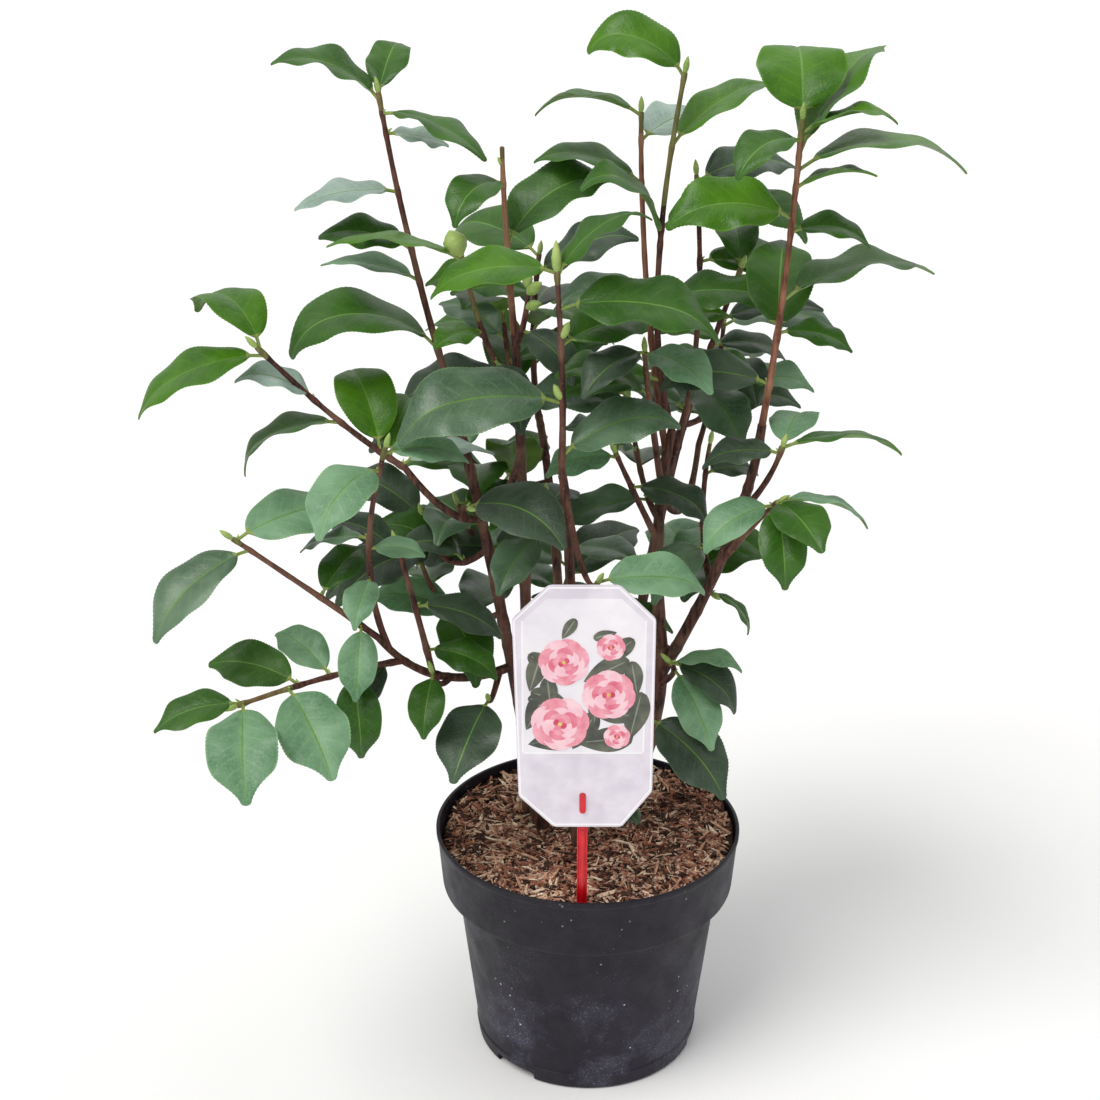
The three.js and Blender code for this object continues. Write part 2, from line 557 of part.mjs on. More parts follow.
function leafPlans(shoot) {
  const { plan, draw } = shoot
  if (Array.isArray(plan.leaves)) return plan.leaves
  const list = []
  const start = draw(0, 360)
  for (let k = 0; k < plan.leaves; k++) {
    const place = 1 - 0.72 * (1 - k / (plan.leaves - 1)) ** 0.9
    list.push([Math.min(place, 0.98), start + 137.5 * k + draw(-15, 15), draw(5, 40), draw(50, 72)])
  }
  return list
}

for (const shoot of shoots) {
  const bodies = [stemBody(shoot.path, shoot.girth, TWIG_SIDES, TWIG_RINGS, 0, false)]
  for (const [place, heading, rise, length, droopSet, leanSet, width] of leafPlans(shoot)) {
    const droop = droopSet ?? shoot.draw(...LEAF_DROOP)
    const lean = leanSet ?? shoot.draw(...LEAF_LEAN)
    const leaf = { foot: shoot.path.getPoint(place), heading, rise, length, droop,
      width: width ?? LEAF_WIDTH }
    if (!settle(leaf, lean, shoot.name)) continue
    for (const spot of spotsOf(leaf)) balls.push({ spot, reach: LEAF_CLEAR, owner: shoot.name })
    bodies.push(leafBody(leaf))
  }
  const tip = shoot.path.getTangent(1)
  const lift = THREE.MathUtils.radToDeg(Math.asin(tip.z))
  const toward = THREE.MathUtils.radToDeg(Math.atan2(tip.y, tip.x))
  const buds = shoot.plan.buds ?? [[1, toward, lift, TIP_BUD.length, TIP_BUD.radius]]
  for (const [place, ...shape] of buds) bodies.push(budBody(shoot.path.getPoint(place), ...shape))
  const whole = bodies.reduce((joined, next) => joined.add(next))
  keep(shoot.name, cutClear(whole, limbs[shoot.plan.from[0]]), LEAF_LOOK)
}
keep('pot', potBody(), POT_LOOK)
keep('soil', soilBody(stickBody(GAP)), SOIL_LOOK)
keep('label_stick', stickBody(0), STICK_LOOK)
keep('label_card', cardBody(), CARD_LOOK)

export default shrub
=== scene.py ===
# Looks for the potted camellia shrub. Lengths are millimetres until a mesh is made.
import math

import bpy
import numpy as np
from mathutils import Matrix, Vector


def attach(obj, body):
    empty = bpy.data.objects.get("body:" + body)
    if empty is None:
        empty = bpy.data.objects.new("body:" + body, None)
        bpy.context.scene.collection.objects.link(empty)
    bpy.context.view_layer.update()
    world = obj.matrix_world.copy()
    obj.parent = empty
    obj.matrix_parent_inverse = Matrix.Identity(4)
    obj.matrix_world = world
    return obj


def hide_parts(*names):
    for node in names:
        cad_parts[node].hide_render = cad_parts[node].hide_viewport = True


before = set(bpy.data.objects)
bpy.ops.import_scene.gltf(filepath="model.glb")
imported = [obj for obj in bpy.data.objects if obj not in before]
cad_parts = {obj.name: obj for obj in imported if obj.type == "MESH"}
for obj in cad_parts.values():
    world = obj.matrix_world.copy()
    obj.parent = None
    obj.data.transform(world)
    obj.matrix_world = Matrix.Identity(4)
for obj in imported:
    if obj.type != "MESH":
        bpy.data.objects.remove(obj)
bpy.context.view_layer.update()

MM = 0.001
BODY = "root"
GAP = 0.3

# Room that a leaf leaves to others, to its own shoot's leaves, to limbs and to pot and card,
# and the share of it that the finer growth keeps
LEAF_CLEAR, OWN_CLEAR, LIMB_CLEAR, WALL_CLEAR = 6.5, 4, 5.5, 7
FINER_EASE = 0.45
NOBODY = -1

# Pot and soil
POT_HEIGHT, POT_RIM, POT_FOOT, POT_WALL, POT_FLOOR = 150, 95, 70, 2.2, 3
BAND_FOOT, BAND_RADIUS, BODY_TOP = 112, 91, 82.5
NOTCH_HEADINGS = (229, 109, 349)
NOTCH_WIDE, NOTCH_DEEP, NOTCH_HIGH = 30, 12, 6
SOIL_LEVEL, SOIL_FLAT = 142, 58
HEAP_RISE, HEAP_HEADING = 5, 55

# Picture card and its stick
CARD_WIDE, CARD_HIGH, CARD_THICK, CARD_FOOT = 79, 150, 0.8, 196
CARD_X, CARD_Y, CARD_CORNER = -5, -85, 20
STICK_WIDE, STICK_THICK, STICK_FOOT, STICK_TOP = 6, 2.4, 119, 222
SLOT_WIDE, SLOT_LOW, SLOT_HIGH = 4.6, 205, 218

# Leaves, as the source has them
LEAF_WIDTH, LEAF_STEPS, PETIOLE_SHARE, PETIOLE_THICK = 0.55, 12, 0.115, 2
PETIOLE_RISE = 8
SWELL = (0.64, 0.78)
FOLD = 14
LEAF_LEAN, LEAF_DROOP = (18, 32), (30, 55)
TURNS = (0, 10, -10, 20, -20, 32, -32)
LIFTS = (0, 14, -14, 26)
SHRINKS = (1, 0.84)
TWIG_GIRTH = (2.1, 1.3)
TIP_BUD = (9, 2.2)

# Canes and boughs: foot, middle and tip of the path, then the radius at foot and tip. A
# foot is a spot on the soil, or the name of a limb and the place along it.
LIMBS = {
    "cane_left": ([-29, 6], [-57, 0, 317], [-83, 10, 434], [4, 2.6]),
    "cane_middle": ([-36, 25], [-40, 24, 356], [-44, 20, 458], [3.8, 2.4]),
    "cane_front": ([-6, -16], [-12, -36, 327], [-17, -38, 393], [3.4, 2.4]),
    "trunk_right": ([19, 16], [37, 6, 205], [44, 6, 268], [6.5, 5.2]),
    "cane_right": (["trunk_right", 0.84], [80, -11, 341], [95, -25, 418], [3.6, 2.5]),
    "cane_inner": (["trunk_right", 1], [41, 14, 340], [48, 20, 401], [4, 2.6]),
    "cane_back": ([12, 45], [44, 50, 333], [63, 55, 412], [3.6, 2.4]),
    "cane_rear": ([-12, 52], [-20, 82, 300], [-32, 98, 392], [3.4, 2.3]),
    "bough_left_upper": (["cane_middle", 0.6], [-66, -15, 358], [-106, -20, 391],
      [2.5, 1.9]),
    "bough_left_lower": (["cane_left", 0.31], [-89, -25, 263], [-122, -46, 297],
      [2.8, 2]),
    "bough_rear": (["cane_back", 0.55], [62, 86, 330], [72, 112, 362], [2.4, 1.9]),
}
# Leafy shoots: foot, middle and tip, the leaves, and the buds where they are known. A leaf
# is its place along the shoot, heading, rise and length, and where they matter its droop,
# lean and width. A number instead of a list deals that many by chance. A bud is its place,
# heading, rise, length and radius. Without a list the tip ends in one small bud.
SHOOTS = {
    "left_spire": (["cane_left", 1], [-103, 18, 514], [-118, 25, 593],
      [[0.11, 198, 40, 92, 90, 12], [0.35, 177, 22, 52, 30, 10], [0.46, 178, 26, 50, 45],
       [0.66, 190, 5, 54, 30, 14], [0.93, 335, -3, 62, 40, -4], [0.86, 20, -5, 34, 20],
       [0.97, 190, 45, 60, 60], [0.99, 106, 52, 44]]),
    "middle_spire": (["cane_middle", 1], [-48, 18, 513], [-50, 15, 565],
      [[0.8, 234, 12, 48, 80, 30], [0.46, 18, 58, 72, 75, 26], [0.25, 190, 15, 50]],
      [[0.9, 200, 60, 6, 1.6]]),
    "bud_twig": (["cane_middle", 0.82], [-57, 8, 450], [-73, -5, 511],
      [[0.97, 185, 24, 70, 42, -4], [0.65, 230, 12, 38], [0.3, 30, 20, 56], [0.45, 300, -30, 46]],
      [[0.99, 150, 60, 15, 6.5], [0.9, 60, 70, 13, 4]]),
    "bud_spur": (["cane_middle", 0.94], [-38, 8, 470], [-36, 4, 490],
      [[0.3, 320, -12, 44]],
      [[0.98, 100, 70, 12, 4], [0.9, 340, 40, 11, 4.5], [0.7, 330, 20, 10, 4]]),
    "front_spire": (["cane_front", 1], [-17, -39, 448], [-20, -40, 508],
      [[0.99, 188, 12, 66, 50], [0.97, 20, 55, 62, 60, 2], [0.83, 347, 12, 84], [0.66, 35, 20, 58],
       [0.38, 195, 12, 90], [0.1, 12, 38, 66]],
      [[0.99, 100, 80, 18, 3.5], [0.7, 20, 60, 10, 3.5], [0.4, 170, 60, 10, 3.5]]),
    "left_upper_spray": (["bough_left_upper", 1], [-141, -30, 422], [-182, -42, 467],
      [[0.98, 138, 62, 64, 116, 4], [0.95, 194, -3, 73, 42, 15], [0.66, 165, 40, 44],
       [0.48, 187, 0, 62, 50, 2], [0.2, 118, 66, 62, 70, 30], [0.12, 75, 50, 50],
       [0.03, 10, 25, 50, 45, 5]]),
    "left_upper_tuft": (["bough_left_upper", 0.58], [-74, -22, 366], [-70, -30, 370],
      [[0.95, 345, 20, 68, 65, 34]]),
    "left_lower_spray": (["bough_left_lower", 1], [-156, -58, 330], [-197, -70, 367],
      [[0.98, 35, 18, 66, 35, 34], [0.9, 215, -14, 68, 45, 12], [0.45, 60, 35, 44],
       [0.14, 268, -30, 42]]),
    "left_riser": (["bough_left_lower", 0.9], [-125, -50, 347], [-113, -56, 415],
      [[0.9, 240, 10, 60, 80, 34], [0.97, 15, 10, 46], [0.6, 170, 2, 40, 40, 5],
       [0.55, 350, 10, 30], [0.4, 240, -6, 36]]),
    "left_drooper": (["bough_left_lower", 0.78], [-148, -66, 282], [-196, -95, 278],
      [[0.98, 190, 3, 47], [0.97, 277, -16, 60, 35, 24, 0.68], [0.68, 165, 25, 52, 45, 38],
       [0.74, 302, -18, 58, 35, 24, 0.7], [0.5, 150, 35, 44], [0.36, 284, -30, 48, 35],
       [0.1, 258, -20, 40]]),
    "left_small_riser": (["bough_left_lower", 0.55], [-103, -26, 312], [-112, -22, 345],
      [[0.98, 30, 0, 44], [0.9, 170, 15, 46], [0.45, 5, -4, 52], [0.15, 340, 6, 44]]),
    "left_middle_tuft": (["bough_left_lower", 0.42], [-88, -34, 262], [-92, -40, 272],
      [[0.95, 262, -20, 39, 40]]),
    "left_base_tuft": (["bough_left_lower", 0.08], [-58, -18, 246], [-60, -27, 248],
      [[0.95, 250, -12, 56, 40, 20, 0.66]]),
    "right_spire": (["cane_right", 1], [102, -35, 497], [106, -45, 588],
      [[0.99, 88, 70, 57, 82, 4, 0.83], [0.9, 46, 64, 82, 30, -30], [0.96, 25, 30, 48, 45, 0],
       [0.94, 222, 12, 48, 70], [0.86, 3, 26, 88, 64, 2], [0.81, 345, 30, 40, 45, 0],
       [0.72, 192, 22, 66, 55, 44], [0.68, 0, 15, 42, 60], [0.46, 12, 28, 82, 45, 2], [0.33, 82, 55, 70],
       [0.35, 355, 8, 40], [0.16, 172, 18, 58]]),
    "inner_spire": (["cane_inner", 1], [37, 10, 487], [48, -5, 607],
      [[0.99, 172, 50, 58, 84, 40], [0.85, 24, 42, 64, 35, 6], [0.66, 15, 30, 50],
       [0.62, 183, 50, 66, 88, 18], [0.47, 340, 14, 66], [0.25, 335, 15, 58], [0.2, 192, 14, 56]]),
    "inner_spire_left": (["cane_inner", 0.86], [32, 28, 483], [27, 30, 582],
      [[0.99, 183, 26, 58, 55, 0], [0.92, 50, 20, 58, 30, 30], [0.8, 182, 32, 60, 48, 8],
       [0.5, 190, 5, 52], [0.35, 0, 10, 56]]),
    "front_tuft": (["cane_inner", 0.7], [33, -8, 425], [29, -17, 458],
      [[0.98, 204, 2, 48], [0.96, 330, 8, 50], [0.55, 200, 15, 58]]),
    "back_spire": (["cane_back", 1], [74, 45, 452], [86, 30, 495],
      [[0.98, 125, 58, 48, 105, 0], [0.95, 60, 40, 48], [0.6, 350, 24, 56], [0.4, 10, 8, 46]]),
    "right_low_shoot": (["cane_right", 0.62], [98, -30, 386], [105, -40, 410],
      [[0.98, 0, 14, 62, 30, -10], [0.96, 100, 44, 50, 60, 4], [0.9, 185, 10, 42]]),
    "right_side_shoot": (["cane_right", 0.42], [93, -32, 362], [104, -44, 379],
      [[0.98, 5, 4, 53, 50, -10], [0.95, 272, -26, 50], [0.9, 322, -5, 50, 50, 24, 0.62],
       [0.85, 200, -6, 46]]),
    "fork_left_shoot": (["cane_inner", 0.45], [24, 0, 372], [14, -8, 396],
      [[0.98, 40, 30, 50], [0.9, 200, 10, 42], [0.5, 5, 20, 50]]),
    "front_low": (["cane_front", 0.82], [-5, -52, 341], [3, -62, 338],
      [[0.98, 350, 10, 58]]),
    "right_low_tuft": (["trunk_right", 0.8], [50, -12, 258], [48, -18, 268],
      [[0.98, 336, -8, 47, 50], [0.7, 302, -30, 50, 35], [0.9, 0, 2, 42, 50, 0]]),
    "right_low_spur": (["cane_right", 0.24], [69, 4, 302], [73, 3, 304],
      [[0.95, 342, -16, 34, 70, -10]]),
    "right_foot_leaf": (["trunk_right", 0.7], [36, -14, 232], [35, -22, 233],
      [[0.98, 322, -15, 62, 40, 28, 0.62]]),
    "middle_low": (["cane_middle", 0.42], [-62, 40, 318], [-80, 46, 345], 5),
    "middle_front": (["cane_middle", 0.5], [-30, 4, 340], [-26, -4, 368],
      [[0.98, 200, 10, 46], [0.85, 90, 20, 44], [0.5, 240, -5, 48]]),
    "middle_rear": (["cane_middle", 0.72], [-46, 48, 420], [-52, 66, 460], 6),
    "inner_rear": (["cane_inner", 0.55], [32, 40, 365], [24, 56, 410], 6),
    "rear_spire": (["cane_rear", 1], [-34, 98, 440], [-30, 92, 490], 7),
    "rear_left": (["cane_rear", 0.7], [-58, 92, 345], [-84, 92, 375], 6),
    "rear_low": (["cane_rear", 0.42], [-14, 92, 270], [-8, 112, 292], 5),
    "rear_right": (["bough_rear", 1], [82, 122, 400], [86, 118, 440], 6),
    "back_right": (["cane_back", 0.4], [66, 66, 290], [88, 72, 314], 6),
    "back_side": (["cane_back", 0.8], [76, 70, 400], [84, 76, 428], 5),
    "back_tall": (["cane_inner", 0.74], [62, 42, 440], [60, 46, 545],
      [[0.98, 20, 25, 60], [0.93, 300, 10, 66], [0.78, 350, 15, 66], [0.62, 155, 8, 62],
       [0.5, 15, 4, 60], [0.4, 300, -5, 56], [0.3, 190, 5, 56]]),
    "left_inner": (["cane_left", 0.56], [-84, 16, 320], [-100, 22, 346], 6),
    "left_inner_low": (["cane_left", 0.42], [-82, 18, 284], [-102, 24, 316], 5),
    "right_inner": (["cane_right", 0.35], [68, 22, 345], [72, 34, 388],
      [[0.98, 120, 35, 54], [0.8, 30, 10, 38], [0.62, 155, 25, 56], [0.45, 330, -5, 44],
       [0.28, 200, -10, 54]]),
    "inner_low": (["trunk_right", 0.85], [28, 26, 262], [14, 34, 284],
      [[0.98, 350, -8, 46], [0.8, 160, 20, 54], [0.7, 60, 25, 50], [0.5, 230, -10, 40]]),
}

# Leaves of each group make one piece
GROUPS = {
    "left": ["left_spire", "left_upper_spray", "left_upper_tuft", "left_riser", "left_inner",
             "left_inner_low"],
    "left_low": ["left_lower_spray", "left_drooper", "left_small_riser", "left_middle_tuft",
                 "left_base_tuft", "middle_low"],
    "middle": ["middle_spire", "bud_twig", "bud_spur", "front_spire", "front_low", "middle_front",
               "middle_rear"],
    "inner": ["inner_spire", "inner_spire_left", "front_tuft", "fork_left_shoot", "inner_rear",
              "back_tall", "inner_low"],
    "right": ["right_spire", "right_low_shoot", "right_side_shoot", "right_low_tuft",
              "right_low_spur", "right_foot_leaf", "right_inner"],
    "back": ["back_spire", "rear_spire", "rear_left", "rear_low", "rear_right", "back_right",
             "back_side"],
}


# --- Camera, floor and light ---

scene = bpy.context.scene
scene.view_settings.view_transform = "Standard"

CAMERA_AT = (-0.0236, -0.962, 0.710)
CAMERA_PITCH = 21.4
SENSOR = 36
FOCAL_PIXELS, PHOTO_PIXELS = 1750, 1100
camera_data = bpy.data.cameras.new("camera")
camera_data.sensor_width = SENSOR
camera_data.lens = SENSOR * FOCAL_PIXELS / PHOTO_PIXELS
camera_data.clip_start = 0.02
camera_data.clip_end = 100
camera = bpy.data.objects.new("camera", camera_data)
camera.location = CAMERA_AT
camera.rotation_euler = (math.radians(90 - CAMERA_PITCH), 0, 0)
scene.collection.objects.link(camera)
scene.camera = camera


def sun(name, toward, strength, softness, colour):
    data = bpy.data.lights.new(name, "SUN")
    data.energy = strength
    data.angle = math.radians(softness)
    data.color = colour
    lamp = bpy.data.objects.new(name, data)
    lamp.rotation_euler = Vector(toward).to_track_quat("-Z", "Y").to_euler()
    scene.collection.objects.link(lamp)


sun("key", (0.5, 0.42, -1.0), 1.85, 36, (1, 0.985, 0.95))
sun("rim", (-0.3, -0.75, -1.0), 0.5, 70, (0.98, 0.99, 1))

world = bpy.data.worlds.new("studio")
world.use_nodes = True
background = world.node_tree.nodes["Background"]
background.inputs["Color"].default_value = (1, 0.995, 0.985, 1)
background.inputs["Strength"].default_value = 0.54
scene.world = world


# --- Materials ---

def linear(colour):
    """An sRGB colour in levels of 0 to 255 as the linear colour that a node takes."""
    shares = [level / 255 for level in colour]
    return *(x / 12.92 if x <= 0.04045 else ((x + 0.055) / 1.055) ** 2.4 for x in shares), 1


class Paint:
    """A principled material that is built up node by node."""

    def __init__(self, name, roughness, **sockets):
        self.material = bpy.data.materials.new(name)
        self.material.use_nodes = True
        self.tree = self.material.node_tree
        self.shader = self.tree.nodes["Principled BSDF"]
        self.shader.inputs["Roughness"].default_value = roughness
        for socket, value in sockets.items():
            self.shader.inputs[socket.replace("_", " ")].default_value = value
        self.place = self.tree.nodes.new("ShaderNodeTexCoord").outputs["Object"]
        self.height = None

    def node(self, kind, inputs, **settings):
        made = self.tree.nodes.new("ShaderNode" + kind)
        for key, value in settings.items():
            setattr(made, key, value)
        for key, value in inputs.items():
            if isinstance(value, bpy.types.NodeSocket):
                self.tree.links.new(value, made.inputs[key])
            else:
                made.inputs[key].default_value = value
        return made

    def stretch(self, x, y, z):
        return self.node("Mapping", {"Vector": self.place, "Scale": (x, y, z)}).outputs["Vector"]

    def noise(self, scale, detail=4, place=None, roughness=0.55):
        return self.node("TexNoise", {"Vector": place or self.place, "Scale": scale, "Detail": detail,
                                      "Roughness": roughness}).outputs["Fac"]

    def cells(self, scale):
        return self.node("TexVoronoi", {"Vector": self.place, "Scale": scale}).outputs["Distance"]

    def ramp(self, value, low, high, start=0.0, end=1.0):
        return self.node("MapRange", {"Value": value, "From Min": low, "From Max": high,
                                      "To Min": start, "To Max": end}).outputs["Result"]

    def math(self, operation, first, second):
        return self.node("Math", {0: first, 1: second}, operation=operation).outputs[0]

    def times(self, first, *others):
        for other in others:
            first = self.math("MULTIPLY", first, other)
        return first

    def mix(self, share, first, second):
        """A blend of two sockets or sRGB colours."""
        made = self.node("Mix", {"Factor": share}, data_type="RGBA")
        for slot, value in ((6, first), (7, second)):
            if isinstance(value, bpy.types.NodeSocket):
                self.tree.links.new(value, made.inputs[slot])
            else:
                made.inputs[slot].default_value = linear(value)
        return made.outputs[2]

    def colour(self, value):
        self.tree.links.new(value, self.shader.inputs["Base Color"])

    def rough(self, value):
        self.tree.links.new(value, self.shader.inputs["Roughness"])

    def bump(self, value, depth):
        made = self.node("Bump", {"Height": value, "Distance": depth, "Strength": 1.0})
        if self.height is not None:
            self.tree.links.new(self.height, made.inputs["Normal"])
        self.height = made.outputs["Normal"]
        self.tree.links.new(self.height, self.shader.inputs["Normal"])


def leaf_paint(name, dark, light, roughness=0.38, coat=0.08, veins=0.26):
    """Mottled skin with paler veins and edge; "blade" holds each point's place on its leaf:
    its share of the length, its distance from the rib and the turn of the veins there."""
    paint = Paint(name, roughness, Coat_Weight=coat, Coat_Roughness=0.3, Specular_IOR_Level=0.3)
    blotch = paint.ramp(paint.noise(34, 3), 0.36, 0.66)
    speck = paint.ramp(paint.noise(620, 3), 0.42, 0.72, 0.0, 0.5)
    skin = paint.mix(speck, paint.mix(blotch, dark, light), light)
    blade = paint.node("Attribute", {}, attribute_name="blade").outputs["Vector"]
    place = paint.node("SeparateXYZ", {"Vector": blade}).outputs
    sway = paint.ramp(paint.noise(110, 2), 0.25, 0.75, -0.08, 0.08)
    away = paint.math("PINGPONG", paint.math("ADD", place["Z"], sway), 0.5)
    line = paint.times(paint.ramp(away, 0.0, 0.13, 0.7, 0.0), paint.ramp(place["X"], 0.03, 0.1),
                       paint.ramp(place["Y"], 0.4, 0.9, 1.0, 0.0))
    beside = paint.ramp(place["Y"], 0.03, 0.3, 0.5, 0.0)
    rim = paint.ramp(place["Y"], 0.94, 1.0, 0.0, 1.7)
    mark = paint.times(paint.math("MAXIMUM", paint.math("MAXIMUM", line, beside), rim), veins)
    bright = (light[0] * 1.1 + 24, light[1] * 1.1 + 26, light[2] * 1.05 + 12)
    paint.colour(paint.mix(mark, skin, bright))
    paint.rough(paint.ramp(paint.noise(90, 3), 0.3, 0.7, roughness - 0.06, roughness + 0.1))
    paint.bump(paint.cells(900), 0.00012)
    paint.bump(paint.noise(260, 3), 0.0002)
    return paint.material


LEAF_TONES = {
    # deep: a dark leaf green that stands partly for painted shade on leaves inside and behind the shrub
    "deep": leaf_paint("leaf_deep_shade", (44, 60, 46), (70, 90, 70)),
    "mid": leaf_paint("leaf_mid", (40, 80, 20), (62, 105, 32)),
    "fresh": leaf_paint("leaf_fresh", (50, 97, 8), (78, 127, 22), 0.34),
    # soft, grey and pale: the leaf's own green made paler and bluer by painted sheen of the bright sky
    "soft": leaf_paint("leaf_soft_sheen", (86, 127, 90), (126, 165, 128), 0.42, 0.06),
    "grey": leaf_paint("leaf_grey_sheen", (62, 90, 64), (96, 124, 96), 0.34, 0.24),
    "pale": leaf_paint("leaf_pale_sheen", (126, 152, 140), (166, 186, 176), 0.36, 0.25),
}
# Undersides: the leaf's own paler yellow-green, brightened further as painted light shining through the
# leaf
UNDER_LOOK = leaf_paint("leaf_under_lit_through", (74, 108, 40), (102, 138, 56), 0.5, 0.05)
RIB_LOOK = leaf_paint("leaf_rib", (74, 116, 48), (106, 146, 70), 0.42, 0.1)
PETIOLE_LOOK = leaf_paint("leaf_petiole", (108, 130, 62), (144, 162, 84), 0.45, 0.1)
BUD_LOOK = leaf_paint("bud_scale", (116, 146, 66), (172, 194, 116), 0.4, 0.1)


def bark_paint(name, dark, light, streak):
    """Bark with fibres along it, paler streaks and small pale dots."""
    paint = Paint(name, 0.72, Specular_IOR_Level=0.35)
    along = paint.stretch(1, 1, 0.12)
    fibre = paint.ramp(paint.noise(420, 5, along), 0.38, 0.64)
    patch = paint.ramp(paint.noise(38, 4), 0.46, 0.62)
    dots = paint.ramp(paint.cells(330), 0.1, 0.2, 1.0, 0.0)
    base = paint.mix(fibre, dark, light)
    base = paint.mix(paint.times(patch, 0.55), base, streak)
    paint.colour(paint.mix(paint.times(dots, 0.4), base, (172, 138, 112)))
    paint.bump(paint.noise(520, 5, along), 0.0006)
    paint.bump(dots, 0.0003)
    return paint.material


BARK_LOOK = bark_paint("bark_brown", (40, 24, 20), (106, 66, 54), (134, 102, 86))
TWIG_LOOK = bark_paint("twig_dark", (50, 27, 24), (106, 62, 52), (142, 104, 86))
TAN_TWIG_LOOK = bark_paint("twig_tan", (98, 56, 42), (158, 106, 82), (178, 138, 108))
GREEN_TWIG_LOOK = bark_paint("twig_green", (92, 92, 52), (132, 128, 76), (120, 76, 56))


# --- Meshes ---

def add_piece(name, points, faces, materials, slots, shades=None, sharp=50):
    """points are in millimetres, slots names the solids that the piece stands for, and
    shades gives each face's place in materials."""
    mesh = bpy.data.meshes.new(name)
    mesh.from_pydata((np.asarray(points) * MM).tolist(), [], faces)
    for material in materials:
        mesh.materials.append(material)
    if shades is not None:
        mesh.polygons.foreach_set("material_index", np.asarray(shades, dtype=np.int32))
    mesh.polygons.foreach_set("use_smooth", np.ones(len(mesh.polygons), dtype=bool))
    mesh.update()
    mesh.set_sharp_from_angle(angle=math.radians(sharp))
    made = bpy.data.objects.new(name, mesh)
    scene.collection.objects.link(made)
    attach(made, BODY)
    if slots:
        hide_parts(*slots)
    return made


class Gather:
    """Joins many small closed shapes into the arrays of one mesh."""

    def __init__(self):
        self.points = []
        self.faces = []
        self.shades = []
        self.blades = []
        self.count = 0

    def add(self, points, faces, shades=0, blade=None):
        start = self.count
        self.points.append(np.asarray(points, dtype=float))
        self.faces.extend([tuple(start + i for i in face) for face in faces])
        self.shades.extend(shades if isinstance(shades, list) else [shades] * len(faces))
        self.count += len(points)
        if blade is not None:
            self.blades.append(blade)

    def make(self, name, materials, nodes, slot, sharp=50):
        points = np.concatenate(self.points)
        made = add_piece(name, points, self.faces, materials, nodes, self.shades, sharp)
        if self.blades:
            blade = made.data.attributes.new("blade", "FLOAT_VECTOR", "POINT")
            blade.data.foreach_set("vector", np.concatenate(self.blades).astype(np.float32).ravel())
        return made


def bands(rings, sides):
    """The faces between each ring of points and the next."""
    faces = []
    for r in range(rings - 1):
        for i in range(sides):
            j = (i + 1) % sides
            faces.append((r * sides + i, r * sides + j, (r + 1) * sides + j, (r + 1) * sides + i))
    return faces


def skin_faces(rings, sides, tip):
    """Faces of a closed skin over rings of points, with a last single point if tip."""
    faces = [tuple(range(sides))[::-1]] + bands(rings, sides)
    last = (rings - 1) * sides
    if tip:
        faces.extend((last + i, last + (i + 1) % sides, rings * sides) for i in range(sides))
    else:
        faces.append(tuple(last + i for i in range(sides)))
    return faces


def unit(vector):
    return vector / np.maximum(np.linalg.norm(vector, axis=-1, keepdims=True), 1e-12)


def curve(start, pull, end, t):
    """Points of a curve from start to end that bends towards pull."""
    return (1 - t) ** 2 * start + 2 * (1 - t) * t * pull + t ** 2 * end


def ring_of(radius, turn, height):
    return np.stack([radius * np.cos(turn), radius * np.sin(turn), 0 * turn + height], 1)


def tube(path, radii, sides, relief=None):
    """A closed tube with a blunt tip, with radii per ring and relief(ring, turn) on top."""
    path = np.asarray(path, dtype=float)
    ahead = unit(np.gradient(path, axis=0))
    across = np.zeros_like(path)
    side = np.array([1.0, 0.0, 0.0])
    for i in range(len(path)):
        side = unit(side - side.dot(ahead[i]) * ahead[i])
        across[i] = side
    beside = np.cross(ahead, across)
    turn = np.linspace(0, 2 * np.pi, sides, endpoint=False)
    size = np.asarray(radii)[:, None] * np.ones(sides)[None, :]
    if relief is not None:
        size = size + relief(np.arange(len(path))[:, None], turn[None, :])
    ring = (path[:, None] + size[..., None] * (np.cos(turn)[None, :, None] * across[:, None]
            + np.sin(turn)[None, :, None] * beside[:, None]))
    points = np.vstack([ring.reshape(-1, 3), path[-1] + ahead[-1] * radii[-1] * 0.6])
    return points, skin_faces(len(path), sides, True)


def cut_from(piece, cutter):
    """Cuts the shape of cutter out of piece and removes cutter."""
    cut = piece.modifiers.new("cut", "BOOLEAN")
    cut.operation = "DIFFERENCE"
    cut.solver = "EXACT"
    cut.object = cutter
    bpy.context.view_layer.objects.active = piece
    bpy.ops.object.modifier_apply(modifier=cut.name)
    bpy.data.objects.remove(cutter)


# --- The plant's rule, as in the source ---

def chance(seed):
    """Draws from a seeded row of numbers, the same as the source's."""
    state, factor, period = seed, 48271, 2147483647

    def following():
        nonlocal state
        state = (state * factor) % period
        return state / period

    following()
    following()
    return lambda low, high: low + (high - low) * following()


class Path:
    """A smooth path from a foot through a middle point to a tip."""

    def __init__(self, foot, via, tip):
        self.foot, self.tip = np.array(foot, float), np.array(tip, float)
        self.reach = 2 * np.array(via, float) - 0.5 * self.foot - 0.5 * self.tip

    def at(self, t):
        return curve(self.foot, self.reach, self.tip, np.asarray(t, dtype=float)[..., None])

    def span(self):
        return np.linalg.norm(self.tip - self.foot)

    def heading(self, t):
        low, high = max(t - 1e-4, 0), min(t + 1e-4, 1)
        return unit(self.at(high) - self.at(low))


def foot_of(start):
    """A foot on a limb or on the soil, as the tables give it."""
    if isinstance(start[0], str):
        return limbs[start[0]]["path"].at(start[1])
    return np.array([start[0], start[1], SOIL_LEVEL + GAP])


limbs = {}
for name, (start, via, tip, girth) in LIMBS.items():
    limbs[name] = {"path": Path(foot_of(start), via, tip), "girth": girth,
                   "grounded": not isinstance(start[0], str)}


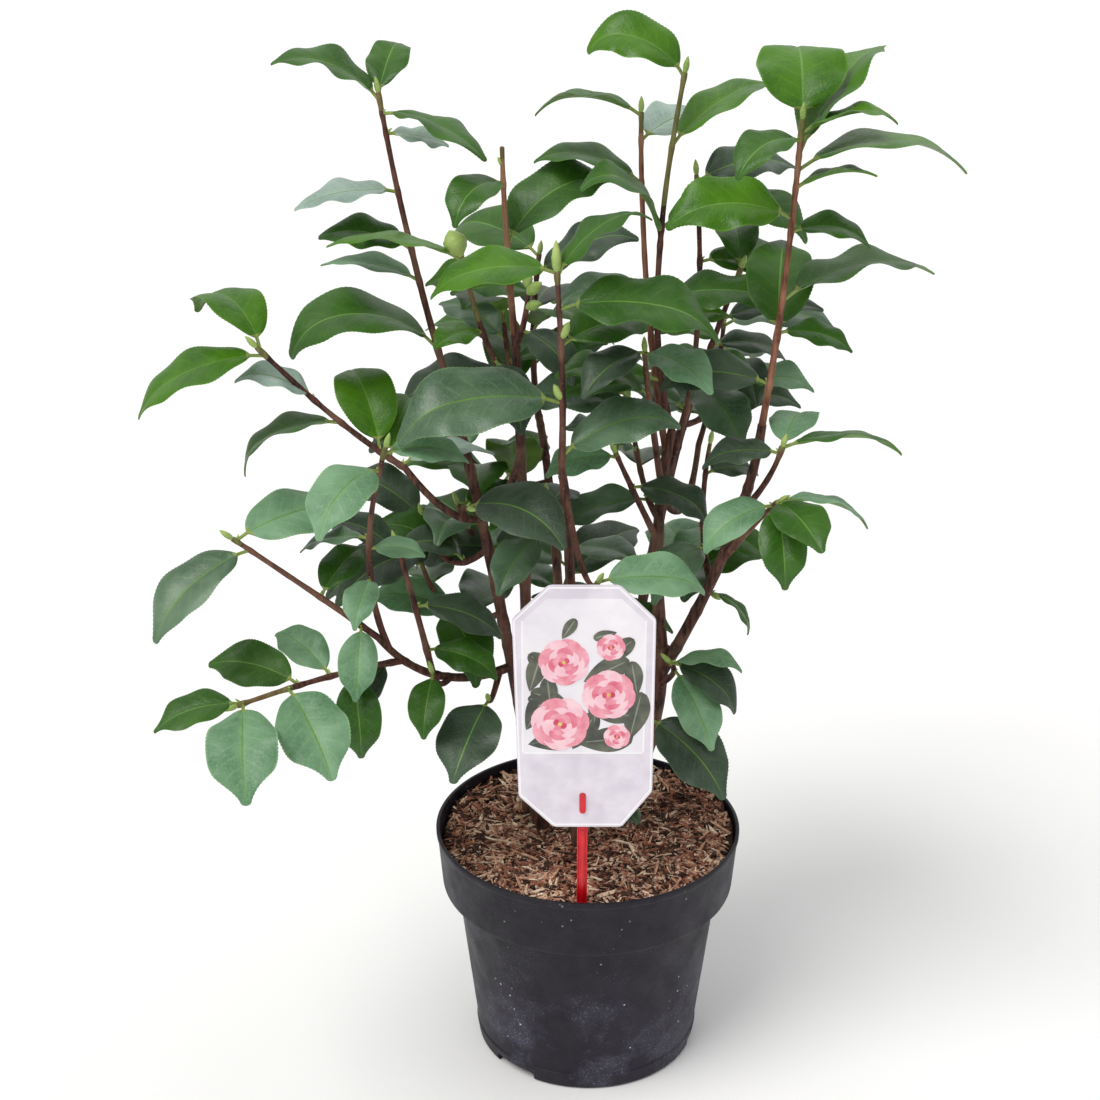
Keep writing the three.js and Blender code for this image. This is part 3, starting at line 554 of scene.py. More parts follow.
def swell(s):
    """A leaf's width at share s of its blade, as a share of its full width."""
    widest = SWELL[0] / sum(SWELL)
    full = widest ** SWELL[0] * (1 - widest) ** SWELL[1]
    s = np.clip(s, 0, 1)
    return s ** SWELL[0] * (1 - s) ** SWELL[1] / full


UP = np.array([0.0, 0.0, 1.0])


def fold_at(s):
    return np.radians(FOLD * (1 - 0.55 * s))


def midrib(leaf):
    """The source's stations of a leaf: centre, side and normal, half width and fold."""
    k = np.arange(-1, LEAF_STEPS + 1)
    s = np.maximum(k, 0) / LEAF_STEPS
    rise = np.radians(leaf["rise"] + np.where(k < 1, PETIOLE_RISE, 0) - leaf["droop"] * s ** 1.3)
    heading = math.radians(leaf["heading"])
    level = np.array([math.cos(heading), math.sin(heading), 0.0])
    ahead = np.cos(rise)[:, None] * level + np.sin(rise)[:, None] * UP
    step = np.where(k < 0, 0, np.where(k == 0, PETIOLE_SHARE, 1 / LEAF_STEPS)) * leaf["length"]
    centre = leaf["foot"] + np.cumsum(ahead * step[:, None], axis=0)
    across = np.cross(UP, level)
    face = np.cross(ahead, across)
    roll = math.radians(leaf["roll"])
    side = math.cos(roll) * across + math.sin(roll) * face
    normal = math.cos(roll) * face - math.sin(roll) * across
    half = np.maximum(swell(s) * leaf["length"] * leaf["width"] / 2, PETIOLE_THICK / 2)
    return centre, side, normal, half, fold_at(s)


# Places across a leaf that its balls take, from edge to edge
SHARES = np.array([-1, -0.67, -0.33, 0, 0.33, 0.67, 1])
BLADE_FROM, OUTER_FROM = 2, 5


def spots_of(leaf, first=BLADE_FROM):
    """Spots of a leaf from its station first to its tip."""
    centre, side, normal, half, fold = (part[first:] for part in midrib(leaf))
    reach = (half * np.cos(fold))[:, None] * SHARES
    lift = (half * np.sin(fold))[:, None] * np.abs(SHARES)
    spots = centre[:, None] + reach[..., None] * side[:, None] + lift[..., None] * normal[:, None]
    return spots.reshape(-1, 3)


class Balls:
    """Everything placed so far, as balls that a new leaf must clear. The owner is the shoot
    whose leaf a ball is on, and the stem is the shoot that it is a part of otherwise."""

    def __init__(self):
        self.spots, self.reach, self.owner, self.stem = [], [], [], []

    def add(self, spots, reach, owner=NOBODY, stem=NOBODY):
        spots = np.atleast_2d(spots)
        self.spots.append(spots)
        self.reach.append(np.ones(len(spots)) * reach)
        self.owner.append(np.full(len(spots), owner))
        self.stem.append(np.full(len(spots), stem))

    def table(self):
        for column in (self.spots, self.reach, self.owner, self.stem):
            column[:] = [np.concatenate(column)]
        return self.spots[0], self.reach[0], self.owner[0], self.stem[0]


balls = Balls()
for limb in limbs.values():
    t = np.arange(61) / 60
    radius = limb["girth"][0] + (limb["girth"][1] - limb["girth"][0]) * t
    balls.add(limb["path"].at(t), LIMB_CLEAR + radius)
POT_BALLS, CARD_STEP_X, CARD_STEP_Z = 96, 8, 7.5
turns = 2 * np.pi * np.arange(POT_BALLS) / POT_BALLS
for radius, height in ((POT_RIM, POT_HEIGHT), (80, SOIL_LEVEL + 4), (64, SOIL_LEVEL + 4)):
    balls.add(ring_of(radius, turns, height), WALL_CLEAR)
for x in np.arange(-CARD_WIDE / 2, CARD_WIDE / 2 + 0.01, CARD_STEP_X):
    heights = np.arange(CARD_FOOT, CARD_FOOT + CARD_HIGH + 0.01, CARD_STEP_Z)
    balls.add(np.stack([0 * heights + CARD_X + x, 0 * heights + CARD_Y, heights], 1), WALL_CLEAR)

shoots = []
for index, (name, (start, via, tip, leaves, *known_buds)) in enumerate(SHOOTS.items()):
    path = Path(foot_of(start), via, tip)
    girth = list(TWIG_GIRTH)
    if start[1] >= 1:
        girth[0] = min(girth[0], limbs[start[0]]["girth"][1])
    t = np.arange(31) / 30
    balls.add(path.at(t), LIMB_CLEAR + girth[0] + (girth[1] - girth[0]) * t, index, index)
    if known_buds:
        for place, _, _, length, radius in known_buds[0]:
            balls.add(path.at(place) + UP * length / 2, LIMB_CLEAR + radius, stem=index)
    else:
        ahead = path.heading(1.0)
        known_buds = [[[1, math.degrees(math.atan2(ahead[1], ahead[0])),
                        math.degrees(math.asin(ahead[2])), *TIP_BUD]]]
    shoots.append({"name": name, "planned": leaves, "buds": known_buds[0], "path": path,
                   "girth": girth, "leaves": [], "draw": chance(4177 + 613 * index)})


def is_clear(leaf, owner, ease):
    """Whether a leaf of shoot owner keeps its room, or the share ease of it."""
    spots = spots_of(leaf)
    outer = spots_of(leaf, OUTER_FROM)
    middle = midrib(leaf)[0][LEAF_STEPS // 2]
    places, reach, owners, stems = balls.table()
    near = (stems != owner) & (np.linalg.norm(places - middle, axis=1)
                               <= leaf["length"] * 0.75 + reach)
    for own in (False, True):
        pick = near & ((owners == owner) == own)
        if not pick.any():
            continue
        gaps = np.linalg.norm((outer if own else spots)[:, None] - places[pick][None], axis=2)
        if (gaps < (OWN_CLEAR if own else reach[pick]) * ease).any():
            return False
    return True


def settle(leaf, lean, owner, ease=1.0):
    """Holds a leaf the first way near its own heading, rise and length that is clear."""
    heading, rise, length = leaf["heading"], leaf["rise"], leaf["length"]
    for shrink in SHRINKS:
        for lift in LIFTS:
            for turn in TURNS:
                leaf["length"] = length * shrink
                leaf["rise"] = rise + lift
                leaf["heading"] = heading + turn
                leaf["roll"] = lean * math.cos(math.radians(leaf["heading"]))
                if is_clear(leaf, owner, ease):
                    return True
    leaf["heading"], leaf["rise"], leaf["length"] = heading, rise, length
    return False


GOLDEN_ANGLE = 137.5


def leaf_plans(shoot):
    """The planned leaves, or that many dealt out in a spiral over the outer shoot."""
    leaves, draw = shoot["planned"], shoot["draw"]
    if isinstance(leaves, list):
        return leaves
    plans = []
    start = draw(0, 360)
    for k in range(leaves):
        place = min(1 - 0.72 * (1 - k / (leaves - 1)) ** 0.9, 0.98)
        plans.append([place, start + GOLDEN_ANGLE * k + draw(-15, 15), draw(5, 40), draw(50, 72)])
    return plans


left_over = []
for index, shoot in enumerate(shoots):
    draw = shoot["draw"]
    for place, heading, rise, length, *kept in leaf_plans(shoot):
        droop = kept[0] if kept else draw(*LEAF_DROOP)
        lean = kept[1] if len(kept) > 1 else draw(*LEAF_LEAN)
        leaf = {"foot": shoot["path"].at(place), "place": place, "heading": heading, "rise": rise,
                "length": length, "droop": droop, "width": kept[2] if len(kept) > 2 else LEAF_WIDTH}
        if settle(leaf, lean, index):
            balls.add(spots_of(leaf), LEAF_CLEAR, index)
            shoot["leaves"].append(leaf)
        else:
            left_over.append((leaf, lean, index))

# Finer growth: leaves that had no room among the solids fit in with less to spare
for leaf, lean, index in left_over:
    if settle(leaf, lean, index, FINER_EASE):
        balls.add(spots_of(leaf), LEAF_CLEAR, index)
        shoots[index]["leaves"].append(leaf)


# --- Leaves ---

LEAF_ROWS, PETIOLE_ROWS = 72, 5
VEINS, VEIN_SLANT = 8, 0.2
TOOTH, BLISTER, RIPPLES = 0.35, 0.34, 2.3
BLADE_THICK, EDGE_THICK = 0.3, 0.06
# Places across a leaf's top from one edge to the other, the rib's strip in the middle
TOP = np.array([1, 0.86, 0.64, 0.4, 0.2, 0.025, -0.025, -0.2, -0.4, -0.64, -0.86, -1])
RIB = 5


def spline(values, at):
    """Smooth in-between values of rows of numbers at the places in at."""
    last = len(values) - 1
    k = np.clip(np.floor(at).astype(int), 0, last - 1)
    t = (at - k)[:, None]
    a, b = values[np.maximum(k - 1, 0)], values[k]
    c, d = values[k + 1], values[np.minimum(k + 2, last)]
    return 0.5 * (2 * b + (c - a) * t + (2 * a - 5 * b + 4 * c - d) * t ** 2
                  + (3 * b - a - 3 * c + d) * t ** 3)


def leaf_shape(leaf, draw):
    """Points and faces of a leaf, the kind of each face (top, rib, under, under_rib or
    petiole) and each point's place on the blade for leaf_paint."""
    centre, side, normal, _, _ = midrib(leaf)
    length = leaf["length"]
    rows = np.concatenate([np.linspace(0, 1, PETIOLE_ROWS, endpoint=False),
                           1 + LEAF_STEPS * np.linspace(0, 1, LEAF_ROWS + 1)[:-1]])
    s = np.maximum(rows - 1, 0) / LEAF_STEPS
    middle = spline(centre, rows)
    across = unit(spline(side, rows))
    out = unit(spline(normal, rows))

    # Outline: drawn out to a narrow tip, with fine forward teeth
    near_tip = np.clip((s - 0.7) / 0.22, 0, 1)
    tip = 1 - draw(0.32, 0.46) * near_tip ** 2 * (3 - 2 * near_tip) * np.clip((1.0 - s) / 0.06, 0, 1)
    half = np.maximum(swell(s) * length * leaf["width"] / 2 * tip, 0.75 * (1 - s) + 0.25)
    on_blade = np.clip(s / 0.05, 0, 1)
    tooth = TOOTH * on_blade * np.clip((s - 0.12) / 0.1, 0, 1) * np.clip((0.97 - s) / 0.05, 0, 1)
    saw = np.where(np.arange(len(rows)) % 2 == 0, 1, -0.2)

    # Surface: a fold along the rib, edges that curl back, raised blisters between veins
    fold = fold_at(s) * draw(0.8, 1.7)
    curl = draw(0.5, 1.7)
    wave, phase = draw(0.06, 0.15), draw(0, 6.28)
    hook = draw(0.02, 0.4) ** 2 * length * np.clip((s - 0.62) / 0.38, 0, 1) ** 2
    twist = math.radians(draw(-16, 16))
    sway = draw(-0.045, 0.045) * length * np.clip((s - 0.35) / 0.65, 0, 1) ** 2
    columns = np.concatenate([TOP, TOP[-2:0:-1]])
    below = np.concatenate([np.zeros(len(TOP)), np.ones(len(TOP) - 2)])
    a = np.abs(columns)[None, :]
    h = half[:, None]
    reach = columns[None, :] * (h * np.cos(fold)[:, None] + np.where(a == 1, (tooth * saw)[:, None], 0))
    lift = h * (np.sin(fold)[:, None] * a * (1 - 0.5 * curl * a ** 2))
    ripple = np.sin(2 * np.pi * (RIPPLES * s[:, None] + 0.35 * np.sign(columns)[None, :]) + phase)
    lift = lift + wave * h * ripple * a ** 2 * on_blade[:, None]
    phases = VEINS * (s[:, None] - VEIN_SLANT * a) + 0.5 * (columns[None, :] > 0)
    vein = np.abs(np.sin(np.pi * phases)) ** 0.6
    blister = BLISTER * vein * np.sin(np.pi * np.clip(a, 0, 1)) ** 0.8 * on_blade[:, None]
    lift = lift + blister * np.clip(h / 8, 0, 1)

    # Thickness: a round petiole that flattens into a thin blade with a ridge below
    stem = (1 - np.clip(s / 0.07, 0, 1))[:, None]
    thin = BLADE_THICK * (1 - a ** 4) + EDGE_THICK * (a < 1)
    ridge = (0.85 * (1 - s[:, None]) + 0.2) * np.exp(-(columns[None, :] * h / 0.9) ** 2)
    bulge = 0.95 * np.sqrt(np.clip(1 - a ** 2, 0, 1))
    above = (1 - stem) * (thin - 0.22 * (a < 0.05)) + stem * bulge
    under = -((1 - stem) * (thin + ridge * (a < 1)) + stem * bulge)
    lift = lift + np.where(below[None, :] > 0, under, above)

    turn = twist * s ** 2
    spin = np.cos(turn)[:, None], np.sin(turn)[:, None]
    reach, lift = reach * spin[0] - lift * spin[1], reach * spin[1] + lift * spin[0]
    middle = middle - hook[:, None] * out + sway[:, None] * across
    points = middle[:, None] + reach[..., None] * across[:, None] + lift[..., None] * out[:, None]
    end = middle[-1] + unit(middle[-1] - middle[-2]) * 0.5 * length / LEAF_ROWS
    points = np.vstack([points.reshape(-1, 3), end])
    blade = np.stack([s[:, None] + 0 * a, a + 0 * s[:, None], phases], 2).reshape(-1, 3)
    blade = np.vstack([blade, [1, 0, 0]])

    sides = len(columns)
    faces = skin_faces(len(rows), sides, True)
    strip = ["top"] * RIB + ["rib"] + ["top"] * RIB + ["under"] * (sides - 2 * RIB - 1)
    for i in (RIB + len(TOP) - 2, RIB + len(TOP) - 1, RIB + len(TOP)):
        strip[i] = "under_rib"
    kinds = ["petiole"]
    for r in range(len(rows) - 1):
        kinds.extend(["petiole"] * sides if s[r] < 0.015 else strip)
    kinds.extend(strip)
    return points, faces, kinds, blade


TONES = list(LEAF_TONES)
LEAF_LOOKS = list(LEAF_TONES.values()) + [UNDER_LOOK, RIB_LOOK, PETIOLE_LOOK]
# Where leaf_shape's kinds come in LEAF_LOOKS; a top has a tone's place
KIND_PLACES = {"under": 6, "rib": 7, "under_rib": 7, "petiole": 8}
# Shares of deep, mid, fresh, soft, grey and pale leaves on each shoot that isn't evenly dealt; deep is
# partly painted shade, and soft, grey and pale are partly painted sheen
TONE_SHARES = {
    "left_spire": (0, 4, 0, 2, 2, 2), "inner_spire_left": (0, 3, 1, 2, 2, 2),
    "inner_spire": (0, 4, 6, 0, 0, 0), "right_spire": (1, 4, 5, 0, 0, 0),
    "front_spire": (1, 5, 4, 0, 0, 0), "bud_twig": (2, 5, 3, 0, 0, 0),
    "middle_spire": (1, 4, 5, 0, 0, 0), "left_upper_spray": (0, 4, 5, 0, 0, 1),
    "left_riser": (0, 3, 1, 5, 1, 0), "left_drooper": (0, 2, 0, 7, 1, 0),
    "left_lower_spray": (0, 1, 0, 6, 3, 0), "right_low_tuft": (1, 1, 0, 3, 5, 0),
    "back_tall": (3, 2, 0, 0, 5, 0),
}
EVEN_SHARES = (4, 4, 0, 1, 3, 0)
# Leaves of a tone of their own, by shoot and by place along it
LEAF_MARKS = {
    "left_spire": {0.97: "mid", 0.99: "mid", 0.93: "mid", 0.86: "pale", 0.66: "pale", 0.46: "mid",
                   0.35: "soft", 0.11: "mid"},
    "middle_spire": {0.8: "mid", 0.46: "mid"},
    "front_spire": {0.99: "fresh", 0.83: "mid", 0.66: "mid", 0.38: "grey", 0.1: "grey"},
    "front_tuft": {0.98: "deep", 0.55: "mid"},
    "fork_left_shoot": {0.98: "deep", 0.5: "deep"},
    "left_upper_spray": {0.98: "fresh", 0.95: "fresh", 0.66: "pale", 0.48: "mid", 0.2: "fresh"},
    "left_upper_tuft": {0.95: "deep"},
    "left_riser": {0.9: "soft", 0.6: "grey"},
    "left_drooper": {0.97: "soft", 0.74: "soft", 0.68: "mid", 0.1: "deep"},
    "left_base_tuft": {0.95: "deep"},
    "left_middle_tuft": {0.95: "mid"},
    "right_spire": {0.99: "fresh", 0.94: "mid", 0.9: "fresh", 0.96: "fresh", 0.86: "fresh",
                    0.72: "fresh", 0.68: "mid", 0.46: "mid", 0.35: "mid", 0.33: "mid", 0.16: "deep"},
    "inner_spire": {0.99: "fresh", 0.85: "fresh", 0.62: "mid"},
    "inner_spire_left": {0.99: "mid", 0.92: "pale", 0.8: "mid"},
    "right_low_shoot": {0.98: "mid", 0.96: "soft"},
    "right_side_shoot": {0.98: "soft", 0.95: "mid", 0.9: "mid", 0.85: "soft"},
    "front_low": {0.98: "soft"},
    "right_foot_leaf": {0.98: "deep"},
}


def deal_tone(shoot, place, draw):
    """A leaf's place in TONES: its mark, or one dealt by its shoot's shares."""
    shares = TONE_SHARES.get(shoot, EVEN_SHARES)
    pick = draw(0, sum(shares))
    mark = LEAF_MARKS.get(shoot, {}).get(place)
    if mark:
        return TONES.index(mark)
    for k, share in enumerate(shares):
        pick -= share
        if pick <= 0:
            return k
    return TONES.index("mid")


def bud_shape(foot, heading, rise, length, radius):
    """A bud of overlapping scales; all but the fattest are slimmer than planned."""
    radius *= 0.74 if radius < 5 else 1
    level = np.array([math.cos(math.radians(heading)), math.sin(math.radians(heading)), 0.0])
    ahead = math.cos(math.radians(rise)) * level + math.sin(math.radians(rise)) * UP
    t = np.linspace(0, 0.985, 22)
    path = foot + ahead * (t * (length + 1) - 1)[:, None]
    plump = np.clip(radius / length, 0.2, 0.45)
    radii = radius * np.sin(np.pi * t ** (0.62 + plump)) ** 0.75
    radii = np.maximum(radii, 0.25 * radius * (1 - t) + 0.05)

    def scales(ring, turn):
        overlap = (t[ring] * 5 + 0.5 * np.sin(2 * turn + 1.2) + 0.1 * np.cos(3 * turn)) % 1
        return 0.1 * radii[ring] * overlap ** 2

    return tube(path, radii, 14, scales)


TWIG_SIDES, TWIG_STEP = 12, 1.6
TAN_SHOOTS = ("right_spire", "inner_spire_left", "middle_spire")
GREEN_SHOOTS = ("inner_spire", "left_drooper", "bud_twig")
leaf_sets = {group: Gather() for group in GROUPS}
twigs, buds = Gather(), Gather()
for index, shoot in enumerate(shoots):
    group = next(key for key, names in GROUPS.items() if shoot["name"] in names)
    draw = chance(90211 + 37 * index)
    places = [leaf["place"] for leaf in shoot["leaves"]]
    for leaf in shoot["leaves"]:
        points, faces, kinds, blade = leaf_shape(leaf, draw)
        tone = deal_tone(shoot["name"], leaf["place"], draw)
        leaf_sets[group].add(points, faces, [KIND_PLACES.get(kind, tone) for kind in kinds], blade)
        # A small bud sits in the angle of each leaf
        buds.add(*bud_shape(leaf["foot"] + UP * 0.8, leaf["heading"], leaf["rise"] + 38,
                            draw(3, 4.6), draw(0.7, 1.05)))

    # The twig swells at each leaf and its skin is faintly ribbed
    path, (thick, slim) = shoot["path"], shoot["girth"]
    count = max(12, int(path.span() / TWIG_STEP))
    t = np.linspace(0, 1, count)
    radii = thick + (slim - thick) * t
    for place in places:
        radii = radii + 0.35 * np.exp(-((t - place) * count / TWIG_STEP) ** 2)
    ribs = draw(0, 6.28)
    bark_tone = int(shoot["name"] in TAN_SHOOTS)
    green_from = 0.72 if shoot["name"] in GREEN_SHOOTS else 0.94
    points, faces = tube(path.at(t), radii, TWIG_SIDES,
                         lambda ring, turn: 0.06 * np.sin(5 * turn + ribs + ring * 0.15)
                         + 0.05 * np.sin(2 * turn - ring * 0.6 + ribs))
    ripe = 1 + int(green_from * count) * TWIG_SIDES
    twigs.add(points, faces, [bark_tone] * ripe + [2] * (len(faces) - ripe))
    for place, *shape in shoot["buds"]:
        buds.add(*bud_shape(path.at(place), *shape))

# A small leaf at the trunk's foot, just above the soil
low_leaf = {"foot": limbs["trunk_right"]["path"].at(0.03), "heading": 300, "rise": 30, "length": 24,
            "droop": 40, "roll": 15, "width": LEAF_WIDTH}
points, faces, kinds, blade = leaf_shape(low_leaf, chance(5501))
leaf_sets["right"].add(points, faces, [KIND_PLACES.get(kind, 0) for kind in kinds], blade)

for group, names in GROUPS.items():
    leaf_sets[group].make("leaves_" + group, LEAF_LOOKS, names, "leaf", 70)
twigs.make("twigs", [TWIG_LOOK, TAN_TWIG_LOOK, GREEN_TWIG_LOOK], [], "leaf")
buds.make("buds", [BUD_LOOK], [], "leaf", 60)


# --- Canes and boughs, with the bark's relief ---

LIMB_SIDES, LIMB_STEP = 28, 1.3
bark = Gather()
for index, limb in enumerate(limbs.values()):
    draw = chance(3301 + 91 * index)
    path, (thick, slim) = limb["path"], limb["girth"]
    count = int(path.span() / LIMB_STEP)
    t = np.linspace(0, 1, count)
    flare = 1 + 0.45 * np.exp(-14 * t) if limb["grounded"] else 1
    radii = (thick + (slim - thick) * t) * flare
    for _ in range(int(count / 22)):
        radii = radii + draw(0.15, 0.4) * np.exp(-((t - draw(0.05, 0.95)) * count / 1.5) ** 2)
    turns = [draw(0, 6.28) for _ in range(4)]

    def fissures(ring, turn):
        deep = np.sin(7 * turn + turns[0] + 0.8 * np.sin(ring * 0.11 + turns[1]))
        fine = np.sin(13 * turn + turns[2] + 1.4 * np.sin(ring * 0.19 + turns[3]))
        knots = np.sin(ring * 0.33 + 3 * np.sin(2 * turn + turns[1]))
        return radii[ring] * (0.035 * deep + 0.02 * fine + 0.02 * knots)

    bark.add(*tube(path.at(t), radii, LIMB_SIDES, fissures))
bark.make("bark_limbs", [BARK_LOOK], list(LIMBS), "bark")


# --- Pot ---

def turned(profile, sides):
    """A closed skin of revolution through (radius, height) points, both ends on the axis."""
    turn = np.linspace(0, 2 * np.pi, sides, endpoint=False)
    inner = profile[1:-1]
    points = np.vstack([ring_of(r, turn, z) for r, z in inner]
                       + [[[0, 0, profile[0][1]], [0, 0, profile[-1][1]]]])
    faces, first, last = bands(len(inner), sides), len(points) - 2, len(points) - 1
    for i in range(sides):
        j = (i + 1) % sides
        base = (len(inner) - 1) * sides
        faces += [(first, j, i), (last, base + i, base + j)]
    return points, faces


def round_off(before, here, after, cut, places):
    """A corner of an outline as a short curve that starts cut before it."""
    start, end = here + unit(before - here) * cut, here + unit(after - here) * cut
    return [tuple(curve(start, here, end, t)) for t in places]


def rounded(profile, most):
    """The profile with each corner rounded, by no more than most."""
    out = [profile[0]]
    for k in range(1, len(profile) - 1):
        before, here, after = (np.array(profile[i], float) for i in (k - 1, k, k + 1))
        cut = min(most, np.linalg.norm(before - here) * 0.45, np.linalg.norm(after - here) * 0.45)
        out += round_off(before, here, after, cut, np.linspace(0, 1, 5))
    return out + [profile[-1]]


outer = [
    (0, 1.2), (POT_FOOT - 16, 1.2), (POT_FOOT - 14, 0), (POT_FOOT - 1.2, 0), (POT_FOOT, 1.2),
    (POT_FOOT + 1.2, 9.4), (POT_FOOT + 1.35, 10.6), (POT_FOOT + 0.7, 11.2), (BODY_TOP, BAND_FOOT),
    (BAND_RADIUS, BAND_FOOT), (BAND_RADIUS + 0.5, BAND_FOOT + 2), (POT_RIM - 0.9, POT_HEIGHT - 4.4),
    (POT_RIM - 0.1, POT_HEIGHT - 3.2), (POT_RIM, POT_HEIGHT),
]
wall = [
    (POT_RIM - POT_WALL, POT_HEIGHT), (BAND_RADIUS - POT_WALL, BAND_FOOT + POT_WALL),
    (BODY_TOP - POT_WALL, BAND_FOOT), (POT_FOOT - POT_WALL, POT_FLOOR), (0, POT_FLOOR),
]
pot_paint = Paint("pot_plastic", 0.5, Specular_IOR_Level=0.32)
cloud = pot_paint.ramp(pot_paint.noise(9, 5), 0.38, 0.66)
fleck = pot_paint.ramp(pot_paint.noise(150, 5), 0.35, 0.7)
body = pot_paint.mix(cloud, (15, 10, 22), (27, 20, 37))
body = pot_paint.mix(pot_paint.times(fleck, 0.35), body, (42, 38, 49))
height = pot_paint.node("SeparateXYZ", {"Vector": pot_paint.place}).outputs["Z"]
low = pot_paint.ramp(height, 0.1, 0.02)
dust = pot_paint.ramp(pot_paint.noise(26, 6, roughness=0.7), 0.48, 0.72)
haze = pot_paint.times(low, dust, 0.75)
body = pot_paint.mix(haze, body, (82, 80, 98))
grain = pot_paint.ramp(pot_paint.cells(150), 0.07, 0.12, 1.0, 0.0)
rare = pot_paint.ramp(pot_paint.noise(30, 4), 0.55, 0.62)
speck = pot_paint.times(grain, rare, pot_paint.ramp(height, 0.04, 0.12, 0.9, 0.35))
powder = pot_paint.times(pot_paint.ramp(pot_paint.cells(620), 0.1, 0.3, 1.0, 0.0), dust,
                         pot_paint.ramp(height, 0.02, 0.115, 1.0, 0.15))
body = pot_paint.mix(powder, body, (150, 150, 162))
pot_paint.colour(pot_paint.mix(speck, body, (208, 210, 216)))
pot_paint.rough(pot_paint.ramp(pot_paint.noise(60, 5), 0.3, 0.7, 0.42, 0.62))
pot_paint.bump(pot_paint.noise(500, 4), 0.00018)
pot_paint.bump(pot_paint.noise(14, 2), 0.0012)
POT_ROUNDING, POT_SIDES = 0.7, 192
points, faces = turned(rounded(outer + wall, POT_ROUNDING), POT_SIDES)
pot = add_piece("pot_shell", points, faces, [pot_paint.material], ["pot"], sharp=55)
# Drainage notches are cut out of the foot with a box
for heading in NOTCH_HEADINGS:
    bpy.ops.mesh.primitive_cube_add(size=1)
    cutter = bpy.context.object
    cutter.scale = (NOTCH_DEEP * MM, NOTCH_WIDE * MM, NOTCH_HIGH * 2 * MM)
    spot = math.radians(heading)
    cutter.rotation_euler = (0, 0, spot)
    cutter.location = (POT_FOOT * math.cos(spot) * MM, POT_FOOT * math.sin(spot) * MM, 0)
    cut_from(pot, cutter)


# --- Soil ---

def soil_height(radius, heading):
    """Level in the middle, heaped to one side at the wall, and lumpy all over."""
    out = np.clip((radius - SOIL_FLAT) / (POT_RIM - SOIL_FLAT), 0, 1)
    out = out * out * (3 - 2 * out)
    ripple = 1.2 * np.sin(5 * heading + radius / 7) + 0.8 * np.cos(9 * heading - radius / 5)
    heap = HEAP_RISE * np.cos(heading - math.radians(HEAP_HEADING))
    lumps = 1.3 * np.sin(radius / 3.1 + 3 * np.sin(heading * 4)) * np.sin(11 * heading + radius / 9)
    return SOIL_LEVEL + out * (heap + ripple) + lumps


rng = np.random.default_rng(7)
soil_paint = Paint("soil_peat", 0.95, Specular_IOR_Level=0.2)
crumb = soil_paint.ramp(soil_paint.noise(330, 6), 0.36, 0.66)
clod = soil_paint.ramp(soil_paint.cells(230), 0.1, 0.6)
peat = soil_paint.mix(crumb, (38, 26, 21), (92, 62, 46))
soil_paint.colour(soil_paint.mix(soil_paint.times(clod, 0.5), peat, (30, 21, 18)))
soil_paint.bump(soil_paint.cells(260), 0.0016)
soil_paint.bump(soil_paint.noise(600, 5), 0.0008)

# The soil's skin: two rings down in the pot, then rings over its top from the wall inwards
SIDES, RINGS = 144, 44
turn = np.linspace(0, 2 * np.pi, SIDES, endpoint=False)
inset = POT_WALL + GAP
rows = [(POT_FOOT - inset - 2, POT_FLOOR + 0.4), (BODY_TOP - inset - 1, BAND_FOOT - 2)]
points = [ring_of(r, turn, z) for r, z in rows]
for r in np.linspace(POT_RIM - inset - 1.3, 2, RINGS):
    shake = rng.normal(0, 0.35, SIDES)
    points.append(ring_of(r, turn, soil_height(r, turn) + shake))
points = np.vstack(points + [[[0, 0, SOIL_LEVEL]]])
faces = skin_faces(RINGS + 2, SIDES, True)
add_piece("soil_bed", points, faces, [soil_paint.material], ["soil"], sharp=80)


def scatter(count, most):
    """Even spots on the soil out to the radius most."""
    radius = most * np.sqrt(rng.random(count))
    heading = rng.random(count) * 2 * np.pi
    return radius, heading, soil_height(radius, heading)


def chip_paint(name, dark, light):
    paint = Paint(name, 0.85, Specular_IOR_Level=0.3)
    grain = paint.ramp(paint.noise(700, 5), 0.35, 0.68)
    paint.colour(paint.mix(grain, dark, light))
    paint.bump(paint.noise(1100, 4), 0.0004)
    return paint.material


# Chip tones: the peat's own dark, red, brown and tan pieces; the dark ones also stand as painted shade in
# the gaps, and the tan ones as painted highlights on lit tops
CHIP_LOOKS = [
    chip_paint("chip_dark_shade", (52, 32, 27), (92, 62, 54)),
    chip_paint("chip_red", (126, 76, 60), (186, 126, 102)),
    chip_paint("chip_brown", (172, 124, 104), (230, 184, 156)),
    chip_paint("chip_tan_highlight", (222, 188, 160), (254, 234, 212)),
]
CUBE = np.array([(x, y, z) for x in (-1, 1) for y in (-1, 1) for z in (-1, 1)], float)
CUBE_FACES = [(0, 1, 3, 2), (4, 6, 7, 5), (0, 4, 5, 1), (2, 3, 7, 6), (0, 2, 6, 4), (1, 5, 7, 3)]


def kept_in(points):
    """The points moved towards the middle, so that none reaches the pot's wall."""
    out = np.hypot(points[:, 0], points[:, 1])
    far = out.argmax()
    over = max(out[far] - (POT_RIM - inset - 2), 0)
    return points - [points[far, 0] / out[far] * over, points[far, 1] / out[far] * over, 0]


def chip_tone(radius, heading, shares):
    """A tone for a chip or fibre: dark and light ones, partly painted shade and painted highlight, lie in
    loose clumps.
    """
    clump = math.sin(radius / 4.3 + 4 * math.sin(2 * heading)) * math.sin(9 * heading + radius / 6)
    weights = np.array(shares) * np.exp(clump * np.array([-0.9, -0.2, 0.3, 0.8]))
    return int(rng.choice(4, p=weights / weights.sum()))


chips = Gather()
CHIPS, FIBRES = 6400, 2400
